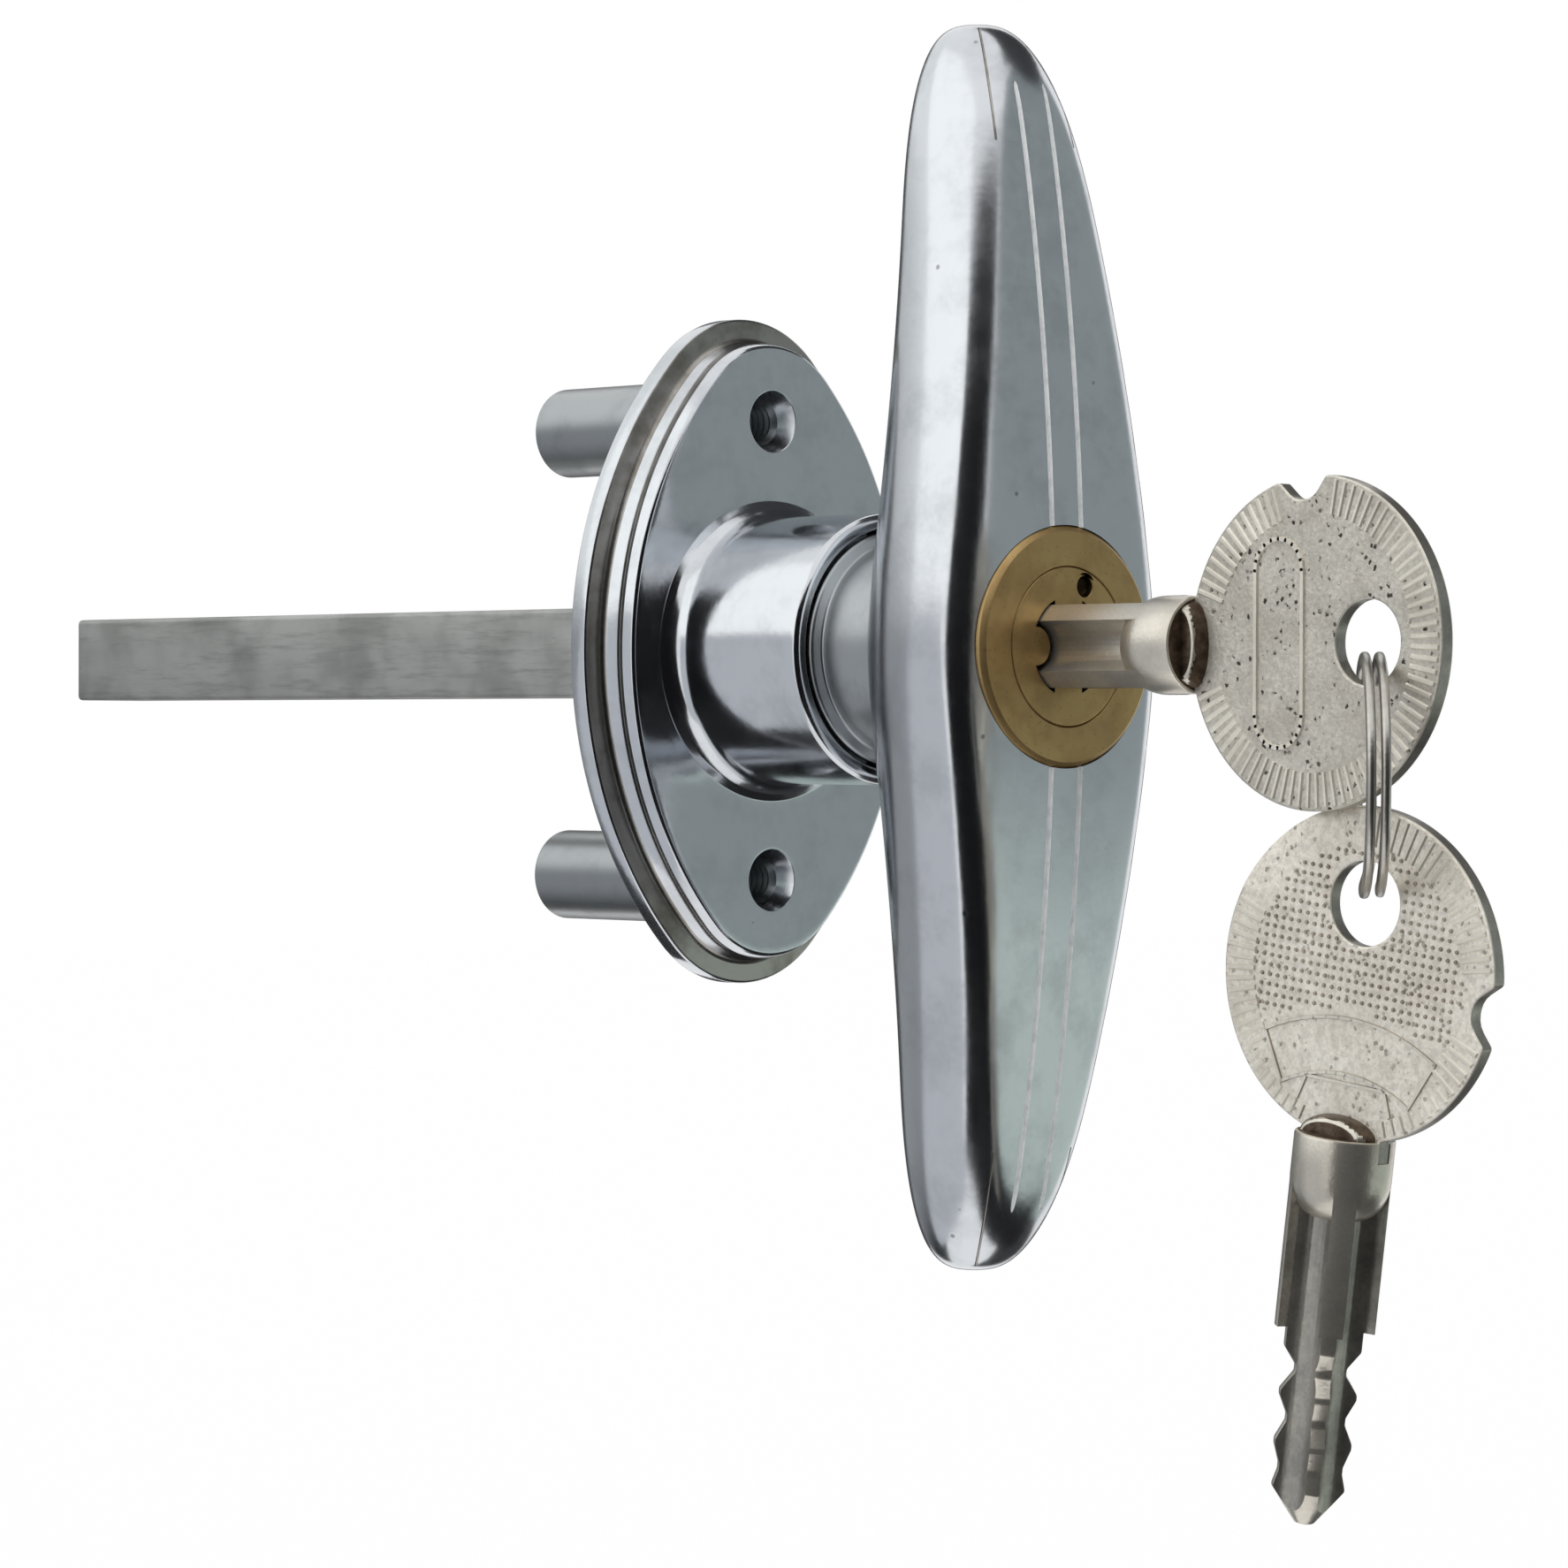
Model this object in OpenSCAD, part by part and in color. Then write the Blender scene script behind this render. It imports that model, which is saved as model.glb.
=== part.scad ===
// Garage door T handle lock: oval escutcheon with a turning grip, a cross key cylinder, a square
// spindle and two keys on a split ring. Millimetres. Local z points out of the door.

/* [Escutcheon] */
// Half width of the oval rim
rim_half_w = 18.7; // [17:0.1:22]
// Half height of the oval rim
rim_half_h = 29.1; // [28:0.1:33]
// Radius of the rim at its upper and lower ends
rim_end_r = 10.8; // [9.5:0.1:12]
// Thickness of the plate from rear face to front face
plate_t = 6; // [5.6:0.1:7]
// Height of the rim's ledge above the rear face
ledge_t = 2.5; // [2.2:0.1:3]
// Set back of the front face from the rim
face_inset = 2.8; // [2.4:0.1:3.4]
// Outer radius of the boss
boss_r = 11.6; // [11.5:0.1:12.5]
// Boss mouth ahead of the front face
boss_l = 15.5; // [15:0.1:18]
// Radius of the flare at the foot of the boss
flare_r = 2.6; // [1.5:0.1:3]
// Radius of the two rear posts
post_r = 4; // [3.6:0.1:4.6]
// Reach of the posts behind the rear face
post_l = 21.6; // [15:0.1:30]
// Distance between the two fixing holes
hole_pitch = 40; // [38:0.5:42]
// Radius of the fixing holes
fix_hole_r = 1.8; // [1.5:0.05:2.2]
// Radius of the countersinks at the front face
sink_r = 2.7; // [2.5:0.05:3]

/* [Grip] */
// Length of the grip from tip to tip
grip_len = 104.4; // [96:0.2:112]
// Section radius at the middle of the grip
grip_r = 12.9; // [12.5:0.1:13.4]
// Loss of section radius from the middle to the tip
grip_taper = 6.9; // [6:0.1:7.5]
// Section axis ahead of the rear face, at the middle
grip_axis = 36.7; // [36.4:0.1:37]
// Sweep back of the section axis at the tips
grip_sweep = 5.5; // [3:0.1:7]
// Front face ahead of the section axis at the ridges
grip_face = 4.8; // [4.5:0.05:5]
// Crown of the front face across its width
grip_crown = 0.65; // [0.5:0.05:0.8]
// Radius of the neck behind the grip
neck_r = 9; // [8.8:0.05:9.3]
// Width of the two engraved lines
line_w = 0.6; // [0.4:0.05:0.9]
// Distance between the two engraved lines
line_pitch = 3.4; // [3:0.1:4.4]

/* [Journal and spindle] */
// Radius of the journal that turns in the boss
journal_r = 8; // [7.9:0.05:8.3]
// Width across the square spindle
spindle_w = 8; // [7.6:0.05:8.2]
// Reach of the spindle behind the rear face
spindle_l = 92.3; // [60:0.5:120]
// Radius of the pin through journal and spindle
cross_pin_r = 1.5; // [1.2:0.05:1.7]
// Thickness of the stop washer
stop_t = 1.8; // [1.5:0.1:1.9]
// Thickness of the retaining ring
clip_t = 1.1; // [0.9:0.05:1.2]

/* [Cylinder] */
// Radius of the brass barrel
barrel_r = 10; // [9.8:0.05:10.2]
// Barrel face ahead of the rear face
face_f = 42.2; // [42:0.1:42.4]
// Length of the barrel
barrel_l = 11.6; // [11.5:0.1:11.8]
// Radius of the plug
plug_r = 6.6; // [6.5:0.05:6.7]
// Radius of the tumbler pins
pin_r = 0.8; // [0.7:0.05:0.9]
// Pitch of the tumbler pins along the plug
pin_pitch = 3.2; // [3:0.05:3.3]
// Throw of the eccentric pin
crank_e = 1.7; // [1.5:0.05:1.8]
// Width of the locking bolt
bolt_w = 4; // [3.6:0.1:4.2]

/* [Keys] */
// Radius of the key bow
bow_r = 13.3; // [12.8:0.1:13.6]
// Thickness of the key bow
bow_t = 1.4; // [1.2:0.05:1.5]
// Bow centre ahead of the plug's face, key in the lock
bow_z = 27.7; // [27:0.1:28.5]
// Radius of the hole in the bow
eye_r = 3.4; // [3.3:0.05:3.6]
// Eye centre from the bow centre
eye_off = 5.65; // [5.4:0.05:6]
// Radius of the collar and the shoulder fins
collar_r = 4; // [3.8:0.05:4.1]
// Radius of the crests of the cuts
land_r = 3.1; // [3:0.05:3.2]
// Radius of the valleys between the crests
valley_r = 2.4; // [2.3:0.05:2.6]
// Length of the cut part of the blade
cut_l = 15.8; // [15.4:0.1:16]
// Depth of the shoulder fins in the mouth of the plug
seat_in = 0.8; // [0.6:0.05:0.9]
// Inner radius of the split ring
ring_in_r = 8.4; // [8.2:0.05:8.8]
// Radial width of the ring wire
ring_wire_w = 1.3; // [1.1:0.05:1.5]
// Thickness of the ring wire along the ring axis
ring_wire_t = 0.8; // [0.7:0.05:0.9]

/* [Hidden] */
$fn = 64;
run = 0.05;
side = 0.1;
seat = 0.02;
eps = 0.5;
mouth_f = plate_t + boss_l;
recess_f = plate_t - 1;
recess_r = journal_r + 4.5;
bore_r = journal_r + run;
flange_r = neck_r + 1;
mouth_r = flange_r + 0.3;
mouth_d = 1.3;
mouth_floor = mouth_f - mouth_d;
bolt_f = 15;
bolt_h = 3.9;
crank_stroke = 2 * crank_e * sin(45);
notch_r = journal_r + crank_stroke + 0.35;
end_c = rim_half_h - rim_end_r;
side_r = (end_c * end_c + rim_half_w * rim_half_w - rim_end_r * rim_end_r)
    / (2 * (rim_half_w - rim_end_r));
side_c = side_r - rim_half_w;
turn = atan2(end_c, side_c);
journal_end = 1;
groove_f = 1.6;
groove_d = 0.8;
flat_x = journal_r - 1;
stop_f = recess_f - side - stop_t;
clip_f = stop_f - side - clip_t;
socket_end = 10;
cross_pin_f = 7.5;
cavity_r = 5.6;
cavity_f = bolt_f - bolt_h / 2 - 0.5;
barrel_f = face_f - barrel_l;
lip_t = 1.2;
tail_r = 4.85;
tail_bore_r = tail_r + run;
tail_end = 24.6;
plug_cavity_r = 7;
plug_cavity_f = tail_end - 0.2;
plug_clip_t = 0.8;
plug_clip_f = barrel_f - 0.25 - plug_clip_t;
plug_groove_r = tail_r - 0.55;
dimple_r = 0.9;
dimple_at = [0.29 * plug_r, 0.76 * plug_r];
tongue_w = 3;
tongue_l = 1.6;
cam_r = 4.8;
cam_end = bolt_f + bolt_h / 2 + 0.4;
crank_pin_r = 1;
crank_pin_end = bolt_f - bolt_h / 2 + 0.3;
flute_c = 3.75;
flute_r = 2.1;
way_play = 0.12;
mouth_play = 0.5;
way_depth = cut_l + seat_in + 0.4;
rows = 4;
row_turn = 45;
pin_first = 2.9;
pins_per_row = 3;
pin_in = land_r + 0.05;
driver_in = plug_r + run + 0.05;
driver_out = driver_in + 1.4;
coil_wire_r = 0.14;
coil_r = 0.5;
coil_pitch = 0.74;
coil_turns = 2;
coil_steps = 8;
key_pin_z = barrel_r + 0.3;
half_pin_r = 1;
half_pin_l = 8;
ring_mid_r = ring_in_r + ring_wire_w / 2;
ring_gap = 0.35;
ring_pitch = ring_wire_t + ring_gap;
ring_steps = 24;
ring_lap = 40;
eye_reach = sqrt(pow(eye_r - 0.42, 2) - pow(ring_pitch + bow_t, 2) * 0.75);
spare_x = 2;
spare_yaw = 4.2;
spare_tilt = 7.8;
eye_f = face_f + bow_z + eye_off;
ring_drop = eye_reach + ring_in_r;
ring_at = [spare_x / 2, -(eye_f - spare_x / 2), -ring_drop];
spare_at = [spare_x, -(eye_f - spare_x), -2 * ring_drop + 0.3];

function dist(a, b) = norm(a - b);
function ring_gap_of(pts, a, b) = min([for (i = a) for (j = b) dist(pts[i], pts[j])]);

// Turn the local frame so that local z points out of the door, along minus Y
module stand() {
    rotate([90, 0, 0]) children();
}

// Part of a washer between two radii and two heights
module ring_at_height(r_in, r_out, z0, z1) {
    translate([0, 0, z0]) difference() {
        cylinder(r = r_out, h = z1 - z0);
        translate([0, 0, -eps]) cylinder(r = r_in, h = z1 - z0 + 2 * eps);
    }
}

// Outline of the stepped rim: outward offset from the rim, height
function rim_steps() = [
    [-0.5, 0], [0, 0.5], [0, ledge_t - 0.6], [-0.25, ledge_t - 0.15], [-0.7, ledge_t],
    [-face_inset + 1, ledge_t + 0.15], [-face_inset + 0.5, ledge_t + 0.8],
    [-face_inset + 0.3, ledge_t + 1.6], [-face_inset + 0.35, plate_t - 0.8],
    [-face_inset + 0.15, plate_t - 0.25], [-face_inset - 0.3, plate_t]
];

module rim_wedge(r, angle) {
    steps = rim_steps();
    rotate_extrude(angle = angle) polygon(concat(
        [[0, 0]], [for (s = steps) [r + s[0], s[1]]], [[0, plate_t]]));
}

module oval_plate() {
    for (m = [0, 1]) mirror([m, 0, 0])
        translate([-side_c, 0, 0]) rotate([0, 0, -turn]) rim_wedge(side_r, 2 * turn);
    for (m = [0, 1]) mirror([0, m, 0])
        translate([0, end_c, 0]) rotate([0, 0, turn]) rim_wedge(rim_end_r, 180 - 2 * turn);
}

module boss() {
    foot = plate_t - 0.8;
    rotate_extrude() difference() {
        union() {
            translate([0, foot]) square([boss_r, mouth_f - foot - 0.6]);
            translate([0, foot]) square([boss_r - 0.6, mouth_f - foot]);
            translate([boss_r - 0.6, mouth_f - 0.6]) circle(r = 0.6);
            translate([0, foot]) square([boss_r + flare_r * 0.8, 0.8 + flare_r * 0.9]);
        }
        translate([boss_r + flare_r, plate_t + flare_r * 0.9]) circle(r = flare_r);
    }
}

module stop_lugs() {
    for (m = [-1, 1]) intersection() {
        ring_at_height(recess_r - 1.8, recess_r + eps, stop_f - 0.4, recess_f + eps);
        translate([m * recess_r, -2.2 - 2, stop_f]) cube([8, 4, 12], center = true);
    }
}

module base_plate() {
    color("silver") stand() {
        difference() {
            union() {
                oval_plate();
                boss();
                for (s = [-1, 1]) translate([0, s * hole_pitch / 2, -post_l])
                    cylinder(r = post_r, h = post_l + 1);
            }
            translate([0, 0, -eps]) cylinder(r = recess_r, h = recess_f + eps);
            cylinder(r = bore_r, h = mouth_f + eps);
            translate([0, 0, mouth_floor]) cylinder(r = mouth_r, h = mouth_d + eps);
            for (k = [0:3]) rotate([0, 0, 90 * k])
                translate([0, -(bolt_w / 2 + 0.2), bolt_f - bolt_h / 2 - 0.2])
                    cube([notch_r, bolt_w + 0.4, mouth_floor - bolt_f + bolt_h / 2 + 0.2 + eps]);
            for (s = [-1, 1]) translate([0, s * hole_pitch / 2, 0]) {
                translate([0, 0, -post_l - eps]) cylinder(r = fix_hole_r, h = post_l + plate_t + 2 * eps);
                translate([0, 0, plate_t - (sink_r - fix_hole_r)])
                    cylinder(r1 = fix_hole_r, r2 = sink_r + eps, h = sink_r - fix_hole_r + eps);
            }
        }
        stop_lugs();
    }
}

// Section radius of the grip at t, 0 in the middle and 1 at a tip
cap_from = 0.66;
function cap(t) = t <= cap_from ? 1 : pow(max(0, 1 - pow((t - cap_from) / (1 - cap_from), 3)), 1 / 3);
function grip_rad(t) = (grip_r + 0.6 - grip_taper * 1.1 * sqrt(t * t + 0.0081)) * cap(t);
function grip_mid(t) = grip_axis - grip_sweep * t * t;
// Distance to the crowned front face along a ray at angle a from straight ahead
function face_dist(a) =
    let (top = grip_face + grip_crown, b = grip_crown / 110, s = sin(a) * sin(a))
    s < 0.0001 ? top / cos(a) : (-cos(a) + sqrt(cos(a) * cos(a) + 4 * top * b * s)) / (2 * b * s);
soft = 11;
function grip_ray(r, a) = cos(a) <= 0.02 ? r : pow(pow(r, -soft) + pow(face_dist(a), -soft), -1 / soft);
grip_sides = 44;
grip_bands = 21;
// Ray angles, closer together around the two ridges
function grip_angle(i) = let (u = 360 * i / grip_sides) u - 11 * sin(2 * u) * 0.5;

module grip_shell() {
    half = grip_len / 2;
    n = 2 * grip_bands - 1;
    ts = [for (k = [1:n]) let (u = k / (n + 1) * 2 - 1) u];
    pts = concat([[0, -half, grip_mid(1)]],
        [for (u = ts) let (t = sin(90 * abs(u)), r = grip_rad(t))
            for (i = [0:grip_sides - 1]) let (a = grip_angle(i), d = grip_ray(r, a > 180 ? 360 - a : a))
                [d * sin(a), (u < 0 ? -1 : 1) * t * half, grip_mid(t) + d * cos(a)]],
        [[0, half, grip_mid(1)]]);
    last = len(pts) - 1;
    function at(k, i) = 1 + k * grip_sides + i % grip_sides;
    faces = concat(
        [for (i = [0:grip_sides - 1]) [0, at(0, i), at(0, i + 1)]],
        [for (k = [0:n - 2]) for (i = [0:grip_sides - 1]) [at(k, i), at(k + 1, i), at(k, i + 1)]],
        [for (k = [0:n - 2]) for (i = [0:grip_sides - 1]) [at(k, i + 1), at(k + 1, i), at(k + 1, i + 1)]],
        [for (i = [0:grip_sides - 1]) [last, at(n - 1, i + 1), at(n - 1, i)]]);
    polyhedron(points = pts, faces = faces);
}

module neck() {
    rotate_extrude() polygon([
        [0, journal_end], [journal_r - 0.3, journal_end], [journal_r, journal_end + 0.3],
        [journal_r, mouth_floor + side], [flange_r, mouth_floor + side], [flange_r, mouth_f - 0.2],
        [flange_r - 0.7, mouth_f + 0.5], [neck_r, mouth_f + 0.5], [neck_r, barrel_f + 0.4],
        [0, barrel_f + 0.4]
    ]);
}

module t_handle() {
    color("gainsboro") stand() difference() {
        union() {
            grip_shell();
            neck();
        }
        translate([0, 0, barrel_f]) cylinder(r = barrel_r + run, h = 30);
        translate([0, 0, plug_cavity_f]) cylinder(r = plug_cavity_r, h = 10);
        translate([0, 0, cavity_f]) cylinder(r = cavity_r, h = 20);
        translate([0, -(bolt_w / 2 + side), bolt_f - bolt_h / 2 - side])
            cube([journal_r + eps, bolt_w + 2 * side, bolt_h + 2 * side]);
        translate([-(spindle_w / 2 + seat), -(spindle_w / 2 + seat), 0])
            cube([spindle_w + 2 * seat, spindle_w + 2 * seat, socket_end]);
        translate([0, 0, cross_pin_f]) rotate([90, 0, 0])
            cylinder(r = cross_pin_r + seat, h = 4 * journal_r, center = true);
        ring_at_height(journal_r - groove_d, journal_r + 2, clip_f - side, clip_f + clip_t + side);
        for (s = [-1, 1]) translate([s * (flat_x + 5), 0, stop_f - 0.5 + 0])
            cube([10, 30, 2 * (recess_f - stop_f + 0.5)], center = true);
        translate([0, -key_pin_z, barrel_f - 8]) cylinder(r = half_pin_r + seat, h = 8 + half_pin_l);
        for (s = [-1, 1]) translate([s * line_pitch / 2, 0, 0]) grip_line();
    }
}

// One engraved line that follows the arched front face
module grip_line() {
    d = 0.35;
    far = 47.5;
    for (m = [0, 1]) mirror([0, m, 0]) rotate([90, 0, 90]) translate([0, 0, -line_w / 2])
        linear_extrude(line_w) polygon(concat(
            [for (k = [0:12]) let (y = 6 + (far - 6) * k / 12, t = y / (grip_len / 2))
                [y, grip_mid(t) + grip_ray(grip_rad(t), 0) - d]],
            [[far, 50], [6, 50]]));
}

module spindle() {
    w = spindle_w / 2;
    c = 0.4;
    color("dimgray") stand() difference() {
        translate([0, 0, -spindle_l]) linear_extrude(spindle_l + socket_end - seat) polygon([
            [-w + c, -w], [w - c, -w], [w, -w + c], [w, w - c],
            [w - c, w], [-w + c, w], [-w, w - c], [-w, -w + c]
        ]);
        translate([0, 0, cross_pin_f]) rotate([90, 0, 0])
            cylinder(r = cross_pin_r + seat, h = 4 * w, center = true);
    }
}

module spindle_pin() {
    color("slategray") stand() translate([0, 0, cross_pin_f]) rotate([90, 0, 0])
        cylinder(r = cross_pin_r, h = 2 * journal_r - 0.6, center = true);
}

module stop_washer() {
    color("darkgray") stand() difference() {
        union() {
            ring_at_height(journal_r - 2, journal_r + 1.9, stop_f, stop_f + stop_t);
            translate([-2, journal_r, stop_f]) cube([4, recess_r - journal_r - 0.6, stop_t]);
        }
        translate([0, 0, stop_f - eps]) intersection() {
            cylinder(r = journal_r + seat, h = stop_t + 2 * eps);
            translate([-flat_x - seat, -20, 0]) cube([2 * (flat_x + seat), 40, stop_t + 2 * eps]);
        }
    }
}

// Open ring with a gap of the given width on one side
module open_clip(r_in, r_out, z, t, gap) {
    difference() {
        ring_at_height(r_in, r_out, z, z + t);
        translate([-gap / 2, -r_out - eps, z - eps]) cube([gap, r_out, t + 2 * eps]);
    }
}

module retaining_ring() {
    color("dimgray") stand() open_clip(journal_r - groove_d + seat, journal_r + 1.6, clip_f, clip_t, 5);
}

// Place children at each tumbler, with local x pointing outward
module at_tumblers() {
    for (k = [0:rows - 1]) for (i = [0:pins_per_row - 1])
        translate([0, 0, face_f - pin_first - pin_pitch * i]) rotate([0, 0, row_turn + 90 * k])
            rotate([0, 90, 0]) children();
}

module lock_barrel() {
    color("goldenrod") stand() difference() {
        union() {
            translate([0, 0, barrel_f]) cylinder(r = barrel_r, h = barrel_l - 0.4);
            translate([0, 0, face_f - 0.4]) cylinder(r1 = barrel_r, r2 = barrel_r - 0.4, h = 0.4);
        }
        translate([0, 0, barrel_f - eps]) cylinder(r = tail_bore_r, h = barrel_l);
        translate([0, 0, barrel_f + lip_t]) cylinder(r = plug_r + run, h = barrel_l);
        at_tumblers() cylinder(r = pin_r + side / 2, h = barrel_r + 1, $fn = 24);
        translate([0, -key_pin_z, barrel_f - eps]) cylinder(r = half_pin_r + seat, h = half_pin_l + eps);
    }
}

module barrel_pin() {
    color("slategray") stand() translate([0, -key_pin_z, barrel_f - 0.5])
        cylinder(r = half_pin_r, h = half_pin_l + 0.5 - seat);
}

module driver_pins() {
    color("gold") stand() at_tumblers()
        translate([0, 0, driver_in]) cylinder(r = pin_r, h = driver_out - driver_in, $fn = 24);
}

function coil_point(s) = [coil_r * cos(360 * s), coil_r * sin(360 * s), coil_wire_r + coil_pitch * s];
coil_n = coil_turns * coil_steps;
coil_pts = [for (k = [0:coil_n]) coil_point(k / coil_steps)];
coil_gap = min([for (k = [0:coil_n - coil_steps]) dist(coil_pts[k], coil_pts[k + coil_steps])])
    - 2 * coil_wire_r;
echo(least_gap_in_tumbler_springs = coil_gap);

function tube_faces(n, m) = concat(
    [[for (j = [0:m - 1]) j]],
    [for (k = [0:n - 2]) for (j = [0:m - 1]) [k * m + j, (k + 1) * m + j, (k + 1) * m + (j + 1) % m]],
    [for (k = [0:n - 2]) for (j = [0:m - 1]) [k * m + j, (k + 1) * m + (j + 1) % m, k * m + (j + 1) % m]],
    [[for (j = [m - 1:-1:0]) (n - 1) * m + j]]);

module coil() {
    pts = [for (k = [0:coil_n]) let (a = 360 * k / coil_steps, c = coil_pts[k]) for (j = [0:5])
        let (b = 60 * j) c + coil_wire_r * [cos(b) * cos(a), cos(b) * sin(a), sin(b)]];
    polyhedron(points = pts, faces = tube_faces(coil_n + 1, 6));
}

module pin_springs() {
    color("lightgray") stand() at_tumblers() translate([0, 0, driver_out + 0.02]) coil();
}

// Cross section of the blade or of its keyway: a disc with four round flutes
module cross_section(r, play) {
    difference() {
        circle(r = r);
        for (k = [0:3]) rotate(90 * k) translate([flute_c, 0]) circle(r = flute_r - play);
    }
}

module lock_plug() {
    color("darkgoldenrod") stand() difference() {
        union() {
            translate([0, 0, barrel_f + lip_t + side]) cylinder(r = plug_r, h = barrel_l - lip_t - side);
            translate([0, 0, tail_end]) cylinder(r = tail_r, h = barrel_f + lip_t + eps - tail_end);
            translate([-tail_r * 0.8, -tongue_w / 2, tail_end - tongue_l])
                cube([tail_r * 1.6, tongue_w, tongue_l + eps]);
        }
        translate([0, 0, face_f - way_depth]) linear_extrude(way_depth + eps)
            cross_section(land_r + 0.15, way_play);
        translate([0, 0, face_f - seat_in]) linear_extrude(seat_in + eps)
            cross_section(collar_r + 0.15, mouth_play);
        at_tumblers() cylinder(r = pin_r + side / 2, h = plug_r + 1, $fn = 24);
        ring_at_height(plug_groove_r, tail_r + 1, plug_clip_f - side, plug_clip_f + plug_clip_t + side);
        translate([dimple_at[0], dimple_at[1], face_f - 0.8]) cylinder(r = dimple_r, h = 1 + eps);
    }
}

module key_pins() {
    color("gold") stand() at_tumblers() {
        translate([0, 0, pin_in]) cylinder(r1 = pin_r * 0.5, r2 = pin_r, h = 0.6, $fn = 24);
        translate([0, 0, pin_in + 0.6]) cylinder(r = pin_r, h = plug_r - run - pin_in - 0.6, $fn = 24);
    }
}

module plug_clip() {
    color("dimgray") stand()
        open_clip(plug_groove_r + seat, plug_cavity_r - 0.6, plug_clip_f, plug_clip_t, 4);
}

module drive_cam() {
    color("gray") stand() {
        difference() {
            translate([0, 0, cam_end]) cylinder(r = cam_r, h = tail_end - side - cam_end);
            translate([-cam_r - eps, -tongue_w / 2 - seat, tail_end - tongue_l - 0.2])
                cube([2 * cam_r + 2 * eps, tongue_w + 2 * seat, tongue_l + 1]);
        }
        rotate([0, 0, 45]) translate([0, crank_e, crank_pin_end])
            cylinder(r = crank_pin_r, h = cam_end - crank_pin_end + eps);
    }
}

module locking_bolt() {
    x0 = crank_e * sin(45);
    slot = crank_pin_r + 0.15;
    color("lightslategray") stand() difference() {
        intersection() {
            translate([-cavity_r + 1, -bolt_w / 2, bolt_f - bolt_h / 2])
                cube([cavity_r + journal_r, bolt_w, bolt_h]);
            cylinder(r = journal_r - side, h = 30);
        }
        translate([-x0 - slot, 0, 0]) cube([2 * slot, bolt_w, 30]);
    }
}

// One key in its own frame: plug face at z 0, tip at negative z, bow in the local y z plane
nose_z = 10;
collar_z = 11.9;
lip_z = 14.9;
rib_h = 1.6;
rib_half = 2.2;
slot_z = 13.2;
tip_r = 0.75;
tip_l = 2.9;
cut_first = 3.3;
cut_pitch = 4;
notch_turn = -5.5;

// Half outline of the cut part: a long pointed tip, then three valleys of different depth
function cut_profile() = let (a = -cut_first, b = a - cut_pitch, c = b - cut_pitch, h = cut_pitch / 2) [
    [0, -cut_l], [tip_r, -cut_l], [land_r - 0.15, -cut_l + tip_l],
    [valley_r + 0.2, c - 0.4], [valley_r + 0.2, c + 0.4], [land_r, c + h - 0.3], [land_r, c + h + 0.3],
    [valley_r, b - 0.4], [valley_r, b + 0.4], [land_r, b + h - 0.3], [land_r, b + h + 0.3],
    [valley_r - 0.3, a - 0.4], [valley_r - 0.3, a + 0.4], [land_r, a + 1.7], [land_r, eps], [0, eps]
];

module key_metal() {
    translate([0, 0, -seat_in]) intersection() {
        translate([0, 0, -cut_l]) linear_extrude(cut_l + 0.1) cross_section(collar_r, 0);
        rotate_extrude() polygon(cut_profile());
    }
    translate([0, 0, -seat_in]) linear_extrude(collar_z + seat_in) cross_section(collar_r, 0);
    core = flute_c - flute_r;
    nose_l = collar_z - nose_z + 2.5;
    rotate_extrude() polygon(concat([[0, nose_z - 2.5]],
        [for (k = [0:6]) let (a = 90 * k / 6) [core + (collar_r - core) * sin(a), collar_z - nose_l * cos(a)]],
        [[collar_r, lip_z - 0.2], [collar_r - 0.2, lip_z], [0, lip_z]]));
    intersection() {
        rotate_extrude() polygon(concat([[0, lip_z - eps], [collar_r - 0.4, lip_z - eps]],
            [for (k = [0:6]) let (a = 90 * k / 6) [(collar_r - 0.4) * cos(a), lip_z + rib_h * sin(a)]]));
        translate([-rib_half, -collar_r, lip_z - 1]) cube([2 * rib_half, 2 * collar_r, rib_h + 2]);
    }
}

module key_blade_part() {
    difference() {
        key_metal();
        translate([-bow_t / 2, -collar_r - eps, slot_z]) cube([bow_t, 2 * (collar_r + eps), 10]);
    }
}

module key_bow_part() {
    translate([-bow_t / 2, 0, 0]) rotate([90, 0, 90]) linear_extrude(bow_t) difference() {
        union() {
            translate([0, bow_z]) circle(r = bow_r, $fn = 96);
            translate([-collar_r + 0.05, slot_z + seat]) square([2 * (collar_r - 0.05), 4]);
        }
        translate([0, bow_z + eye_off]) circle(r = eye_r);
        translate([0, bow_z]) rotate(notch_turn) {
            translate([bow_r - 0.8, 0]) circle(r = 0.8, $fn = 24);
            polygon([[bow_r - 1.1, -0.75], [bow_r - 1.1, 0.75], [bow_r + 0.8, 1.9], [bow_r + 0.8, -1.9]]);
        }
    }
}

// The key in the lock, and the spare that hangs on the ring
module in_lock() {
    stand() translate([0, 0, face_f]) children();
}

module hanging() {
    translate(spare_at) rotate([spare_tilt, 0, 0]) rotate([0, 0, 180 + spare_yaw])
        translate([0, 0, -bow_z - eye_off]) children();
}

module key_blade() {
    color("silver") in_lock() key_blade_part();
}

module key_bow() {
    color("lightgray") in_lock() key_bow_part();
}

module spare_key_blade() {
    color("silver") hanging() key_blade_part();
}

module spare_key_bow() {
    color("lightgray") hanging() key_bow_part();
}

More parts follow.
